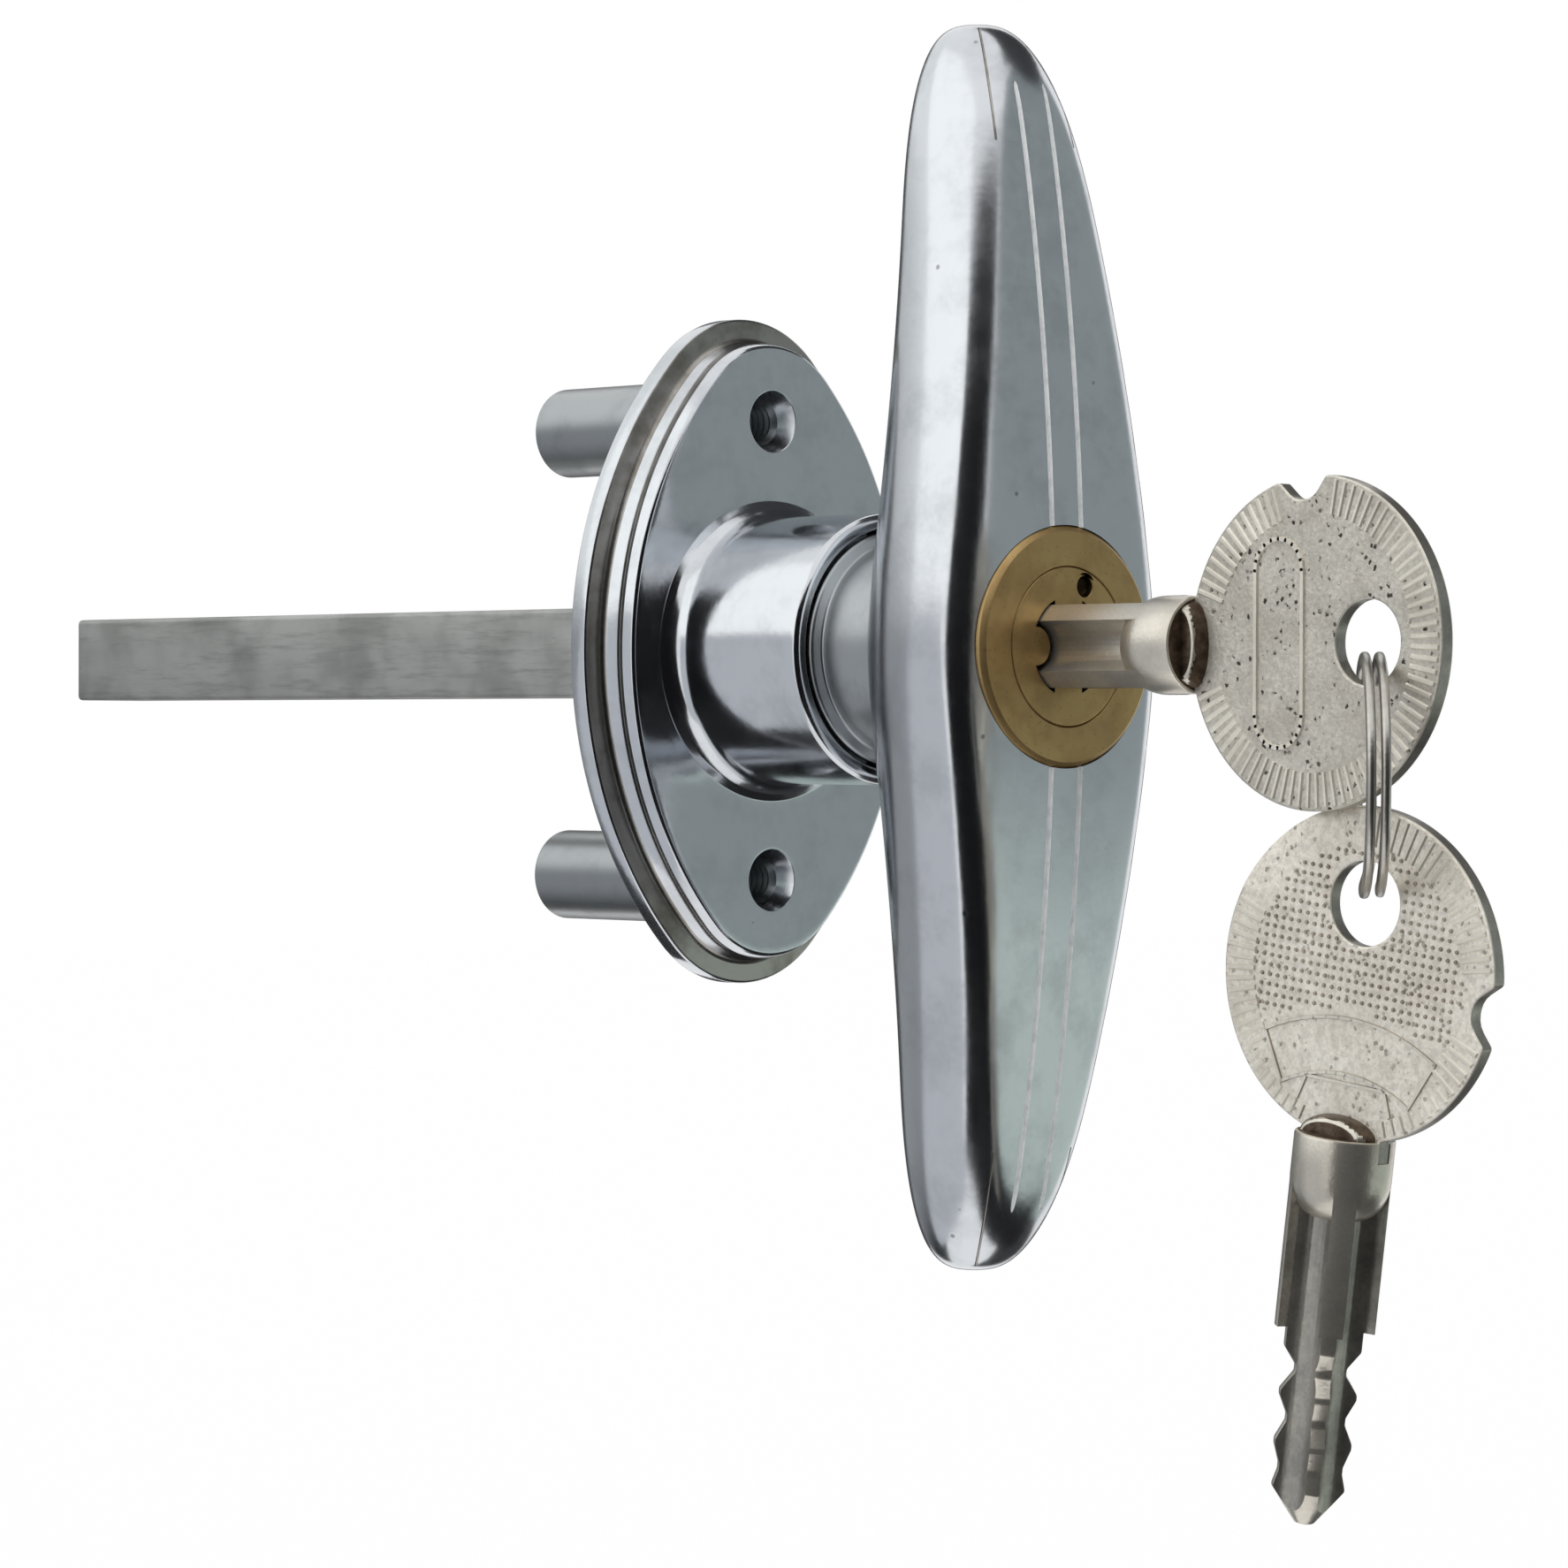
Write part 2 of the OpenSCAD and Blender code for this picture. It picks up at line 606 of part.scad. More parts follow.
// Split ring: two turns side by side, with one jog between them
ring_n = round(ring_steps * (720 - 2 * ring_lap) / 360);
function ring_side(a) = ring_pitch * (a < 330 ? -0.5 : a > 390 ? 0.5 : -0.5 * cos(3 * (a - 330)));
function ring_turn(k) = ring_lap + (720 - 2 * ring_lap) * k / ring_n;
wire = [[0.5, 0.3], [0, 0.5], [-0.5, 0.3], [-0.5, -0.3], [0, -0.5], [0.5, -0.3]];
ring_pts = [for (k = [0:ring_n]) let (a = ring_turn(k), h = ring_side(a)) for (w = wire)
    let (r = ring_mid_r + w[0] * ring_wire_w) [r * cos(a), r * sin(a), h + w[1] * ring_wire_t]];
half_turn = round(ring_n / 2);
ring_least = ring_gap_of(ring_pts, [for (i = [0:6 * (half_turn - 9)]) i],
    [for (j = [6 * (half_turn + 9):6 * ring_n + 5]) j]);
echo(least_gap_in_split_ring = ring_least);

module split_ring() {
    color("silver") translate(ring_at) rotate([0, 0, 45]) rotate([90, 0, 0]) rotate([0, 0, -60])
        polyhedron(points = ring_pts, faces = tube_faces(ring_n + 1, 6));
}

base_plate();
t_handle();
spindle();
spindle_pin();
stop_washer();
retaining_ring();
lock_barrel();
barrel_pin();
driver_pins();
pin_springs();
lock_plug();
key_pins();
plug_clip();
drive_cam();
locking_bolt();
key_blade();
key_bow();
split_ring();
spare_key_blade();
spare_key_bow();
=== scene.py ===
# %% [markdown]
# A garage door T handle lock, dressed in Blender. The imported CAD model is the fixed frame: every
# piece below is drawn where a CAD node already is, rides on that node's body and stands for it.
# Sizes are written in millimetres, because that is how such hardware is drawn, and are turned into
# metres once, when a piece is finished.

import math

import bmesh
import bpy
from mathutils import Matrix, Vector


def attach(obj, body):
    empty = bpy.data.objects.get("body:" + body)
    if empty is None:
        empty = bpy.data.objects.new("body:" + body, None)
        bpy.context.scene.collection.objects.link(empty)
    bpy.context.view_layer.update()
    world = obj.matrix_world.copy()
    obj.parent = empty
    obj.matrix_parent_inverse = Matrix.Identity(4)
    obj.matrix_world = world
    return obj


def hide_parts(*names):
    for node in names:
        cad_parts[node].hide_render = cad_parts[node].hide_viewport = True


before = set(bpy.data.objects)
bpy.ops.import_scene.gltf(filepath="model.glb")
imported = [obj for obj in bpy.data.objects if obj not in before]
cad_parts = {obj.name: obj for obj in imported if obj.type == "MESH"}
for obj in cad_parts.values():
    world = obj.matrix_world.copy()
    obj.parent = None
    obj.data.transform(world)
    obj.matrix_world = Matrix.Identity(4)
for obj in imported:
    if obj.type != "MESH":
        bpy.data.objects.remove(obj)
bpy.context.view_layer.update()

# %% [markdown]
# The camera comes first. Its place was worked out from the photograph: the square bar, the two
# posts and the brass circle fix the angle, the distance and the focal length together. The view is
# almost level, from 43 degrees to the left of straight ahead.

# %% Camera at the photograph's angle
SENSOR = 36.0
FOCAL_PIXELS = 6374.3
PHOTO_PIXELS = 1774
CAMERA_AT = Vector((-0.33192, -0.368755, -0.007654))
CAMERA_TARGET = Vector((0, -0.00753, -0.01159))
CAMERA_ROLL = math.radians(0.138)

camera_data = bpy.data.cameras.new("photo_camera")
camera_data.sensor_width = SENSOR
camera_data.lens = SENSOR * FOCAL_PIXELS / PHOTO_PIXELS
camera_data.clip_start, camera_data.clip_end = 0.01, 50
camera = bpy.data.objects.new("photo_camera", camera_data)
bpy.context.scene.collection.objects.link(camera)
look = (CAMERA_TARGET - CAMERA_AT).normalized()
camera.rotation_mode = "QUATERNION"
roll = Matrix.Rotation(CAMERA_ROLL, 3, "Z").to_quaternion()
camera.rotation_quaternion = look.to_track_quat("-Z", "Y") @ roll
camera.location = CAMERA_AT
bpy.context.scene.camera = camera
print("lens", round(camera_data.lens, 2), "mm")

# %% [markdown]
# Shader maths reads best as plain arithmetic. Wire holds one output socket, and its operators add
# Math nodes. Finish holds one material: its node method makes any node from its type, its settings
# and its sockets, and shade ends the material in a Principled shader.

# %% Wires and finishes
class Wire:
    def __init__(self, finish, socket):
        self.finish, self.socket = finish, socket

    def math(self, operation, *values):
        return self.finish.node("ShaderNodeMath", {"operation": operation}, dict(enumerate(values)))

    def __add__(self, other):
        return self.math("ADD", self, other)

    def __sub__(self, other):
        return self.math("SUBTRACT", self, other)

    def __rsub__(self, other):
        return self.math("SUBTRACT", other, self)

    def __mul__(self, other):
        return self.math("MULTIPLY", self, other)

    def __truediv__(self, other):
        return self.math("DIVIDE", self, other)

    __radd__, __rmul__ = __add__, __mul__

    def ramp(self, low, high):
        """0 below low, 1 above high, and smooth between."""
        return self.finish.node(
            "ShaderNodeMapRange", {"interpolation_type": "SMOOTHSTEP"},
            {"Value": self, "From Min": low, "From Max": high})


class Finish:
    def __init__(self, name):
        self.material = bpy.data.materials.new(name)
        self.material.use_nodes = True
        self.tree = self.material.node_tree
        self.tree.nodes.clear()
        self.place = self.node("ShaderNodeTexCoord", out="Object")

    def node(self, kind, settings=None, values=None, out=0):
        made = self.tree.nodes.new(kind)
        for key, value in (settings or {}).items():
            setattr(made, key, value)
        for key, value in (values or {}).items():
            if isinstance(value, Wire):
                self.tree.links.new(value.socket, made.inputs[key])
            else:
                made.inputs[key].default_value = value
        return Wire(self, made.outputs[out])

    def turned(self, location=(0, 0, 0), rotation=(0, 0, 0), scale=(1, 1, 1)):
        return self.node("ShaderNodeMapping", {"vector_type": "TEXTURE"},
                         {"Vector": self.place, "Location": location, "Rotation": rotation, "Scale": scale})

    def noise(self, size, detail=3.0, roughness=0.5, at=None):
        """Noise with features of about the given size in millimetres."""
        return self.node("ShaderNodeTexNoise", {"noise_dimensions": "3D"},
                         {"Vector": at or self.place, "Scale": 1000 / size, "Detail": detail,
                          "Roughness": roughness})

    def specks(self, size, at=None):
        """Distance to the nearest of many scattered points, in cells."""
        return self.node("ShaderNodeTexVoronoi", {"feature": "F1"},
                         {"Vector": at or self.place, "Scale": 1000 / size}, out="Distance")

    def mix(self, amount, one, other):
        return self.node("ShaderNodeMix", {"data_type": "RGBA"}, {"Factor": amount, 6: one, 7: other}, out=2)

    def bump(self, height, depth, normal=None):
        """Bump of the given depth in millimetres for a height of 1."""
        values = {"Height": height, "Distance": depth / 1000, "Strength": 1.0}
        if normal is not None:
            values["Normal"] = normal
        return self.node("ShaderNodeBump", None, values)

    def shade(self, **values):
        named = {key.replace("_", " ").title().replace("Ior", "IOR"): value for key, value in values.items()}
        shader = self.node("ShaderNodeBsdfPrincipled", None, named)
        self.end(shader)
        return self.material

    def end(self, shader):
        last = self.tree.nodes.new("ShaderNodeOutputMaterial")
        self.tree.links.new(shader.socket, last.inputs["Surface"])


def colour(red, green, blue):
    """A colour as a picture editor names it, 0 to 255, turned into Blender's linear light."""
    parts = [v / 255 for v in (red, green, blue)]
    linear = [v / 12.92 if v <= 0.04045 else ((v + 0.055) / 1.055) ** 2.4 for v in parts]
    return (*linear, 1.0)


print("wires ready")

# %% [markdown]
# Bright chrome on a zinc casting. A mirror alone looks like computer chrome: the casting below it
# is never quite flat, so long soft waves bend the reflections, a finer peel breaks their edges, and
# a few pits show where the plate has bubbled. All of it is bump and roughness on one metal. Where
# the polishing wheel did not reach, in the step of the rim and on the posts, the plate is dull. The
# step is also painted darker and browner, and so are the parting seams of the grip: painted shade
# in that recess and in the seams. The engraved lines of the front are pale and matt: a painted
# highlight where their grooves catch the light.

# %% Chrome
def chrome_finish(name, tones, rough, wave=0.10):
    f = Finish(name)
    waves = f.noise(11, detail=1.0)
    peel = f.noise(1.3, detail=2.0)
    grain = f.noise(0.42, detail=2.0)
    pits = 1 - f.specks(5.2).ramp(0.02, 0.055)
    haze = f.noise(6, detail=4.0, roughness=0.65).ramp(0.42, 0.72)
    tint = f.mix(haze, *[colour(*tone) for tone in tones])
    shade = f.mix(pits * 0.7, tint, colour(120, 120, 120))
    height = waves + peel * 0.06 + grain * 0.03 - pits * 0.15
    return f.shade(
        base_color=shade, metallic=1.0, roughness=haze * 0.06 + grain * 0.06 + rough,
        normal=f.bump(height, wave))


# The pale matt colour of the engraved lines is a painted highlight, for the light their grooves catch.
def line_finish():
    f = Finish("engraved_line_painted_highlight")
    wear = f.noise(1.1, detail=3.0, roughness=0.6).ramp(0.4, 0.7)
    base = f.mix(wear, colour(248, 249, 250), colour(228, 230, 232))
    return f.shade(base_color=base, metallic=0.0, roughness=0.42 + wear * 0.1)


chrome = chrome_finish("chromed_casting", ((214, 217, 221), (200, 203, 207)), 0.10)
grip_chrome = chrome_finish("chromed_grip", ((216, 219, 223), (202, 205, 209)), 0.16)
# A darker, browner dull chrome: painted shade in the rim's step and in the grip's seams.
dull_shaded_chrome = chrome_finish("dull_step_painted_shade", ((176, 173, 168), (134, 129, 121)), 0.26, wave=0.2)
post_chrome = chrome_finish("dull_post", ((176, 180, 182), (158, 162, 164)), 0.28)
line_painted_highlight = line_finish()
print("chrome ready")

# %% [markdown]
# The cylinder is satin brass, turned and then lightly blasted: a dull brown yellow with a fine
# grain, a little darker where fingers and keys have been. Inside the keyway and the round mark of
# its face it is painted almost black: painted shade in those recesses.

# %% Brass
def brass_finish(name, light, dark):
    f = Finish(name)
    grain = f.noise(0.16, detail=2.0)
    patches = f.noise(3.5, detail=4.0, roughness=0.6).ramp(0.38, 0.68)
    flecks = 1 - f.specks(0.55).ramp(0.08, 0.2)
    base = f.mix(patches * 0.6, colour(*light), colour(*dark))
    base = f.mix(flecks * 0.35, base, colour(96, 74, 44))
    return f.shade(
        base_color=base, metallic=0.92, roughness=0.36 + grain * 0.14 + patches * 0.05,
        normal=f.bump(grain - flecks * 0.5, 0.010))


brass = brass_finish("satin_brass", (196, 166, 114), (170, 140, 94))
inner_brass = brass_finish("turned_brass", (198, 170, 112), (168, 138, 84))
# Near black brass: painted shade inside the keyway and the face's round mark.
keyway_shade_brass = brass_finish("keyway_painted_shade", (64, 52, 34), (38, 30, 20))
print("brass ready")

# %% [markdown]
# Keys and ring are nickel plated. The plate is warm grey and soft in its gloss. One face of the disc
# is darker in many small ragged pits, and the other in a patchy film over the ground between the
# dots. The collar's end is painted dark brown: a painted reflection of the dark that it faces.

# %% Nickel, and the collar end's painted reflection
def nickel_finish(name, light, dark, pits=0.0, ground=0.0, rough=0.6, metal=0.95):
    f = Finish(name)
    grain = f.noise(0.28, detail=3.0)
    patches = f.noise(4.2, detail=3.0).ramp(0.35, 0.7)
    base = f.mix(patches, colour(*light), colour(*dark))
    base = f.mix(grain.ramp(0.3, 0.7) * rough * 0.22, base, colour(*[v * 0.72 for v in dark]))
    ragged = f.specks(0.8) + f.noise(0.34, detail=3.0, roughness=0.65) * 0.95
    holes = (1 - ragged.ramp(0.62, 0.76)) * f.noise(2.6, detail=3.0, roughness=0.6).ramp(0.40, 0.55) * pits
    film = f.noise(0.7, detail=4.0, roughness=0.7).ramp(0.42, 0.62) * ground
    base = f.mix(film, base, colour(112, 103, 92))
    base = f.mix(holes, base, colour(56, 49, 42))
    return f.shade(
        base_color=base, metallic=metal - holes * 0.5,
        roughness=0.24 + grain * 0.14 + holes * 0.35 + film * 0.15,
        normal=f.bump(grain * rough - holes, 0.03))


# Dark brown for the collar's end and its rib: a painted reflection of the dark that end faces.
def painted_end_finish():
    f = Finish("collar_end_painted_reflection")
    stain = f.noise(1.2, detail=4.0, roughness=0.65).ramp(0.35, 0.7)
    grain = f.noise(0.2, detail=2.0)
    base = f.mix(stain, colour(74, 60, 48), colour(112, 98, 84))
    return f.shade(base_color=base, metallic=0.8, roughness=0.3 + grain * 0.2, normal=f.bump(grain, 0.012))


nickel = nickel_finish("nickel_plate", (226, 220, 208), (206, 200, 188), metal=0.85)
pitted_field = nickel_finish("nickel_pitted", (224, 219, 207), (205, 199, 187),
                             pits=1.0, ground=0.15, rough=1.6, metal=0.6)
dotted_field = nickel_finish("nickel_ground", (255, 249, 236), (242, 234, 219),
                             pits=0.6, ground=0.24, rough=1.0, metal=0.55)
bow_nickel = nickel_finish("nickel_bow", (240, 235, 222), (222, 216, 203), metal=0.6)
# A darker nickel: painted shade on the bows' rim and eye walls, whose rim edges are also worn, and in the
# spare blade's flutes.
shaded_nickel = nickel_finish("nickel_painted_shade", (186, 182, 173), (158, 155, 148), ground=0.2, metal=0.85)
# Darker nickel for the dots and the sloping sides of the fan and bar lines: painted shade on those sides, and
# dots darker all over.
shade_and_dirt_nickel = nickel_finish("nickel_shade_and_dirt", (182, 172, 157), (148, 139, 125), metal=0.4)
ring_steel = nickel_finish("ring_wire", (206, 203, 197), (186, 182, 175))
painted_end_reflection = painted_end_finish()
print("nickel ready")

# %% [markdown]
# The square bar is drawn steel with matt zinc on it: streaks run along the bar, and paler and
# darker clouds show where the zinc is thick or thin.

# %% Plain and zinc plated steel
def bar_finish():
    f = Finish("matt_zinc")
    along = f.turned(scale=(1, 9, 1))
    streaks = f.noise(0.9, detail=4.0, roughness=0.65, at=along)
    clouds = f.noise(7, detail=3.0).ramp(0.35, 0.68)
    nicks = 1 - f.specks(2.4).ramp(0.03, 0.10)
    base = f.mix(clouds, colour(176, 177, 174), colour(150, 151, 148))
    base = f.mix(streaks.ramp(0.45, 0.75) * 0.5, base, colour(118, 119, 116))
    return f.shade(
        base_color=base, metallic=0.75, roughness=0.34 + streaks * 0.2,
        normal=f.bump(streaks - nicks, 0.02))


def steel_finish():
    f = Finish("plain_steel")
    grain = f.noise(0.2, detail=3.0)
    stain = f.noise(1.6, detail=4.0).ramp(0.45, 0.75)
    base = f.mix(stain * 0.6, colour(172, 172, 172), colour(116, 110, 102))
    return f.shade(base_color=base, metallic=1.0, roughness=0.28 + grain * 0.2, normal=f.bump(grain, 0.008))


bar_zinc = bar_finish()
steel = steel_finish()
print("steel ready")

# %% [markdown]
# Shapes are drawn in the CAD's own local frame: x to the right, y up, and z out of the door, so a
# turned part is simply a profile spun round z. STAND turns that frame upright and makes metres.
# settle() ends every piece the same way: doubles merged, normals outward, edges over 35 degrees
# kept sharp, and the mesh placed so that its object stays at the origin.

# %% Helpers for pieces
MM = 0.001
STAND = Matrix(((MM, 0, 0, 0), (0, 0, -MM, 0), (0, MM, 0, 0), (0, 0, 0, 1)))
UP = Vector((0, 0, 1))


def verts_in(geom):
    return [g for g in geom if isinstance(g, bmesh.types.BMVert)]


def edges_in(geom):
    return [g for g in geom if isinstance(g, bmesh.types.BMEdge)]


def rotate(bm, verts, angle, axis):
    bmesh.ops.rotate(bm, cent=(0, 0, 0), matrix=Matrix.Rotation(angle, 3, axis), verts=verts)


def move(bm, verts, by):
    bmesh.ops.translate(bm, vec=by, verts=verts)


def merge(bm):
    bmesh.ops.remove_doubles(bm, verts=bm.verts, dist=1e-4)


def bevel(bm, edges, offset, segments):
    bmesh.ops.bevel(bm, geom=edges, offset=offset, offset_type="OFFSET", segments=segments, profile=0.5,
                    affect="EDGES", material=-1)


def fillet(corners, bend=10):
    """An open path through (x, y, radius) corners, each rounded by an arc in steps of about bend degrees."""
    path = []
    for i, (x, y, radius) in enumerate(corners):
        here = Vector((x, y))
        if radius == 0 or i in (0, len(corners) - 1):
            path.append(here)
            continue
        back = (Vector(corners[i - 1][:2]) - here).normalized()
        ahead = (Vector(corners[i + 1][:2]) - here).normalized()
        angle = back.angle(ahead)
        reach = radius / math.tan(angle / 2)
        centre = here + (back + ahead).normalized() * radius / math.sin(angle / 2)
        start, stop = here + back * reach - centre, here + ahead * reach - centre
        sweep = start.angle_signed(stop)
        steps = max(2, round(abs(math.degrees(sweep)) / bend))
        for k in range(steps + 1):
            arc = start.copy()
            arc.rotate(Matrix.Rotation(-sweep * k / steps, 2))
            path.append(centre + arc)
    return path


def wire_path(bm, points, closed=False):
    """Vertices along points, joined by edges."""
    verts = [bm.verts.new(p) for p in points]
    pairs = list(zip(verts, verts[1:])) + ([(verts[-1], verts[0])] if closed else [])
    return verts, [bm.edges.new(pair) for pair in pairs]


def lathe(bm, path, steps=128, centre=(0, 0)):
    """Spins a path of (radius, height) a full turn round the z axis through centre."""
    x, y = centre
    verts, edges = wire_path(bm, [(x + r, y, z) for r, z in path])
    bmesh.ops.spin(bm, geom=verts + edges, cent=(x, y, 0), axis=UP, angle=math.tau, steps=steps,
                   use_merge=True)


def level_edges(bm, height):
    """Open edges that lie at one height."""
    return [e for e in bm.edges if e.is_boundary or e.is_wire
            if all(abs(v.co.z - height) < 1e-4 for v in e.verts)]


def fill(bm, height):
    """Fills the flat face between all open loops at one height."""
    bmesh.ops.triangle_fill(bm, use_beauty=True, edges=level_edges(bm, height))


def settle(bm, name, body, material, node=None, place=STAND, sharp=35, outward=True):
    merge(bm)
    if outward:
        bmesh.ops.recalc_face_normals(bm, faces=bm.faces)
    bm.transform(place)
    mesh = bpy.data.meshes.new(name)
    bm.to_mesh(mesh)
    bm.free()
    for m in material if isinstance(material, list) else [material]:
        mesh.materials.append(m)
    mesh.shade_smooth()
    mesh.set_sharp_from_angle(angle=math.radians(sharp))
    piece = bpy.data.objects.new(name, mesh)
    bpy.context.scene.collection.objects.link(piece)
    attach(piece, body)
    if node:
        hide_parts(node)
    print(name, len(mesh.polygons), "faces")
    return piece


def block(bm, low, high):
    """A box between two corners."""
    made = bmesh.ops.create_cube(bm, size=1)["verts"]
    for v in made:
        v.co = [a if c < 0 else b for c, a, b in zip(v.co, low, high)]
    return made


def rod(bm, radius, low, high, place=Matrix(), segments=32):
    """A cylinder along z from low to high, then moved by place."""
    made = bmesh.ops.create_cone(bm, cap_ends=True, segments=segments, radius1=radius, radius2=radius,
                                 depth=high - low)["verts"]
    bmesh.ops.transform(bm, matrix=place @ Matrix.Translation((0, 0, (low + high) / 2)), verts=made)


def cutter(bm, name, finish=None):
    """A closed shape for a Boolean modifier, in the local frame. The faces it makes take its finish."""
    merge(bm)
    bmesh.ops.recalc_face_normals(bm, faces=bm.faces)
    bm.transform(STAND)
    mesh = bpy.data.meshes.new(name)
    bm.to_mesh(mesh)
    bm.free()
    if finish:
        mesh.materials.append(finish)
    tool = bpy.data.objects.new(name, mesh)
    bpy.context.scene.collection.objects.link(tool)
    return tool


def cut(piece, tool, operation="DIFFERENCE", sharp=35):
    """Applies one Boolean to a piece and removes its tool."""
    step = piece.modifiers.new("cut", "BOOLEAN")
    step.operation, step.object, step.solver, step.material_mode = operation, tool, "EXACT", "TRANSFER"
    whole = bpy.data.meshes.new_from_object(piece.evaluated_get(bpy.context.evaluated_depsgraph_get()))
    piece.modifiers.remove(step)
    piece.data = whole
    bpy.data.objects.remove(tool)
    bm = bmesh.new()
    bm.from_mesh(whole)
    bmesh.ops.remove_doubles(bm, verts=bm.verts, dist=2e-5 * MM)
    bm.to_mesh(whole)
    bm.free()
    whole.shade_smooth()
    whole.set_sharp_from_angle(angle=math.radians(sharp))


# %% [markdown]
# The escutcheon is one casting. Its outline is an oval of four arcs, so its stepped rim is a small
# profile spun round four centres in turn. The boss with its bore, and each screw hole with its
# post, are turned shapes. The two flat faces are then filled between those loops. Last come two stop
# lugs in the recess and the four notches in the bore that the locking bolt can enter.

# %% Escutcheon
RIM_W, RIM_H, RIM_END = 18.6, 29.1, 11.4
PLATE_T, LEDGE_T = 6.0, 2.5
BOSS_R, MOUTH_F, MOUTH_R, MOUTH_FLOOR = 11.6, 21.5, 10.3, 20.2
HOLE_AT, HOLE_R, SINK_R, POST_R, POST_L = 20.0, 1.8, 2.7, 4.0, 21.6
RECESS_R, RECESS_F, BORE_R = 12.5, 5.0, 8.05
BOLT_F, NOTCH_R = 15.0, 10.754

END_C = RIM_H - RIM_END
SIDE_R = (END_C ** 2 + RIM_W ** 2 - RIM_END ** 2) / (2 * (RIM_W - RIM_END))
SIDE_C = SIDE_R - RIM_W
TURN = math.atan2(END_C, SIDE_C)

RIM_PROFILE = fillet([
    (-1.3, 0, 0), (-0.75, 0, 0.2), (0, 0.75, 0.35), (0, LEDGE_T, 0.3), (-1.9, LEDGE_T + 0.1, 0.6),
    (-2.55, LEDGE_T + 1.7, 1.1), (-2.2, PLATE_T - 1.2, 0.5), (-2.5, PLATE_T, 0.45),
    (-3.3, PLATE_T, 0), (-3.6, PLATE_T, 0)], bend=12)
BOSS_PROFILE = fillet([
    (BOSS_R + 3.0, PLATE_T, 0), (BOSS_R + 2.6, PLATE_T, 0), (BOSS_R + 1.5, PLATE_T, 0.25),
    (BOSS_R + 0.9, PLATE_T + 0.35, 0.6), (BOSS_R, PLATE_T + 1.3, 2.4), (BOSS_R, MOUTH_F, 0.7),
    (MOUTH_R, MOUTH_F, 0.25), (MOUTH_R, MOUTH_FLOOR, 0), (BORE_R, MOUTH_FLOOR, 0.2), (BORE_R, RECESS_F, 0.2),
    (RECESS_R, RECESS_F, 0.4), (RECESS_R, 0, 0.3), (RECESS_R + 0.6, 0, 0), (RECESS_R + 0.9, 0, 0)], bend=9)
THREAD = [(HOLE_R - 0.22 * (k % 2), PLATE_T - 1.8 - 0.35 * k, 0.05) for k in range(1, 18)]
SINK_PROFILE = fillet([
    (SINK_R + 0.6, PLATE_T, 0), (SINK_R + 0.35, PLATE_T, 0), (SINK_R, PLATE_T, 0.12),
    (HOLE_R + 0.2, PLATE_T - 1.6, 0.25), *THREAD, (HOLE_R, -POST_L, 0.15),
    (POST_R, -POST_L, 0.35), (POST_R, 0, 0.3),
    (POST_R + 0.6, 0, 0), (POST_R + 0.8, 0, 0)], bend=15)


def make_escutcheon():
    bm = bmesh.new()
    arcs = [((-SIDE_C, 0, 0), 2 * TURN, 72), ((0, END_C, 0), math.pi - 2 * TURN, 40),
            ((SIDE_C, 0, 0), 2 * TURN, 72), ((0, -END_C, 0), math.pi - 2 * TURN, 40)]
    start = Matrix.Rotation(-TURN, 3, "Z")
    points = [start @ Vector((SIDE_R + out, 0, up)) - Vector((SIDE_C, 0, 0)) for out, up in RIM_PROFILE]
    verts, edges = wire_path(bm, points)
    moving = verts + edges
    for centre, angle, steps in arcs:
        moving = bmesh.ops.spin(bm, geom=moving, cent=centre, axis=UP, angle=angle, steps=steps)["geom_last"]
    # The rim's step takes the darker dull chrome, as painted shade in that recess.
    for face in bm.faces:
        face.material_index = int(LEDGE_T - 0.05 < face.calc_center_median().z < LEDGE_T + 0.6)
    lathe(bm, BOSS_PROFILE, steps=144)
    for side in (1, -1):
        lathe(bm, SINK_PROFILE, steps=64, centre=(0, side * HOLE_AT))
    bmesh.ops.remove_doubles(bm, verts=bm.verts, dist=2e-3)
    for height in (PLATE_T, 0):
        fill(bm, height)
    for face in bm.faces:
        middle = face.calc_center_median()
        in_sink = middle.z < PLATE_T - 0.05 and Vector((middle.x, abs(middle.y) - HOLE_AT)).length < SINK_R
        if middle.z < -0.05 or in_sink:
            face.material_index = 3 if middle.z > PLATE_T - 1.65 else 2
    finishes = [chrome, dull_shaded_chrome, post_chrome, grip_chrome]
    piece = settle(bm, "escutcheon", "base", finishes, node="base_plate")

    lugs, notches = bmesh.new(), bmesh.new()
    for side in (1, -1):
        x = side * (RECESS_R - 0.8)
        block(lugs, (x - 0.9, -6.2, RECESS_F - 2.35), (x + 0.9, -2.2, RECESS_F + 0.05))
    cut(piece, cutter(lugs, "lug_tool", post_chrome), "UNION")
    for k in range(4):
        box = block(notches, (6, -2.2, BOLT_F - 2.15), (NOTCH_R, 2.2, MOUTH_FLOOR + 0.2))
        rotate(notches, box, math.pi / 2 * k, "Z")
    cut(piece, cutter(notches, "notch_tool", post_chrome))
    return piece


escutcheon = make_escutcheon()

# %% [markdown]
# The grip is a lens seen from the front and a flattened egg in section: a round back whose radius
# shrinks to the tips, cut by a gently crowned front face, with a soft ridge where the two meet. A
# sphere already has the right rings and poles, so each of its points is moved out to that section.

# %% Grip section
GRIP_HALF, GRIP_R, GRIP_TAPER, GRIP_AXIS, GRIP_SWEEP = 52.2, 12.9, 6.9, 36.7, 5.5
GRIP_FACE, GRIP_CROWN, RIDGE_POWER, CAP_FROM = 4.8, 0.65, 11, 0.66


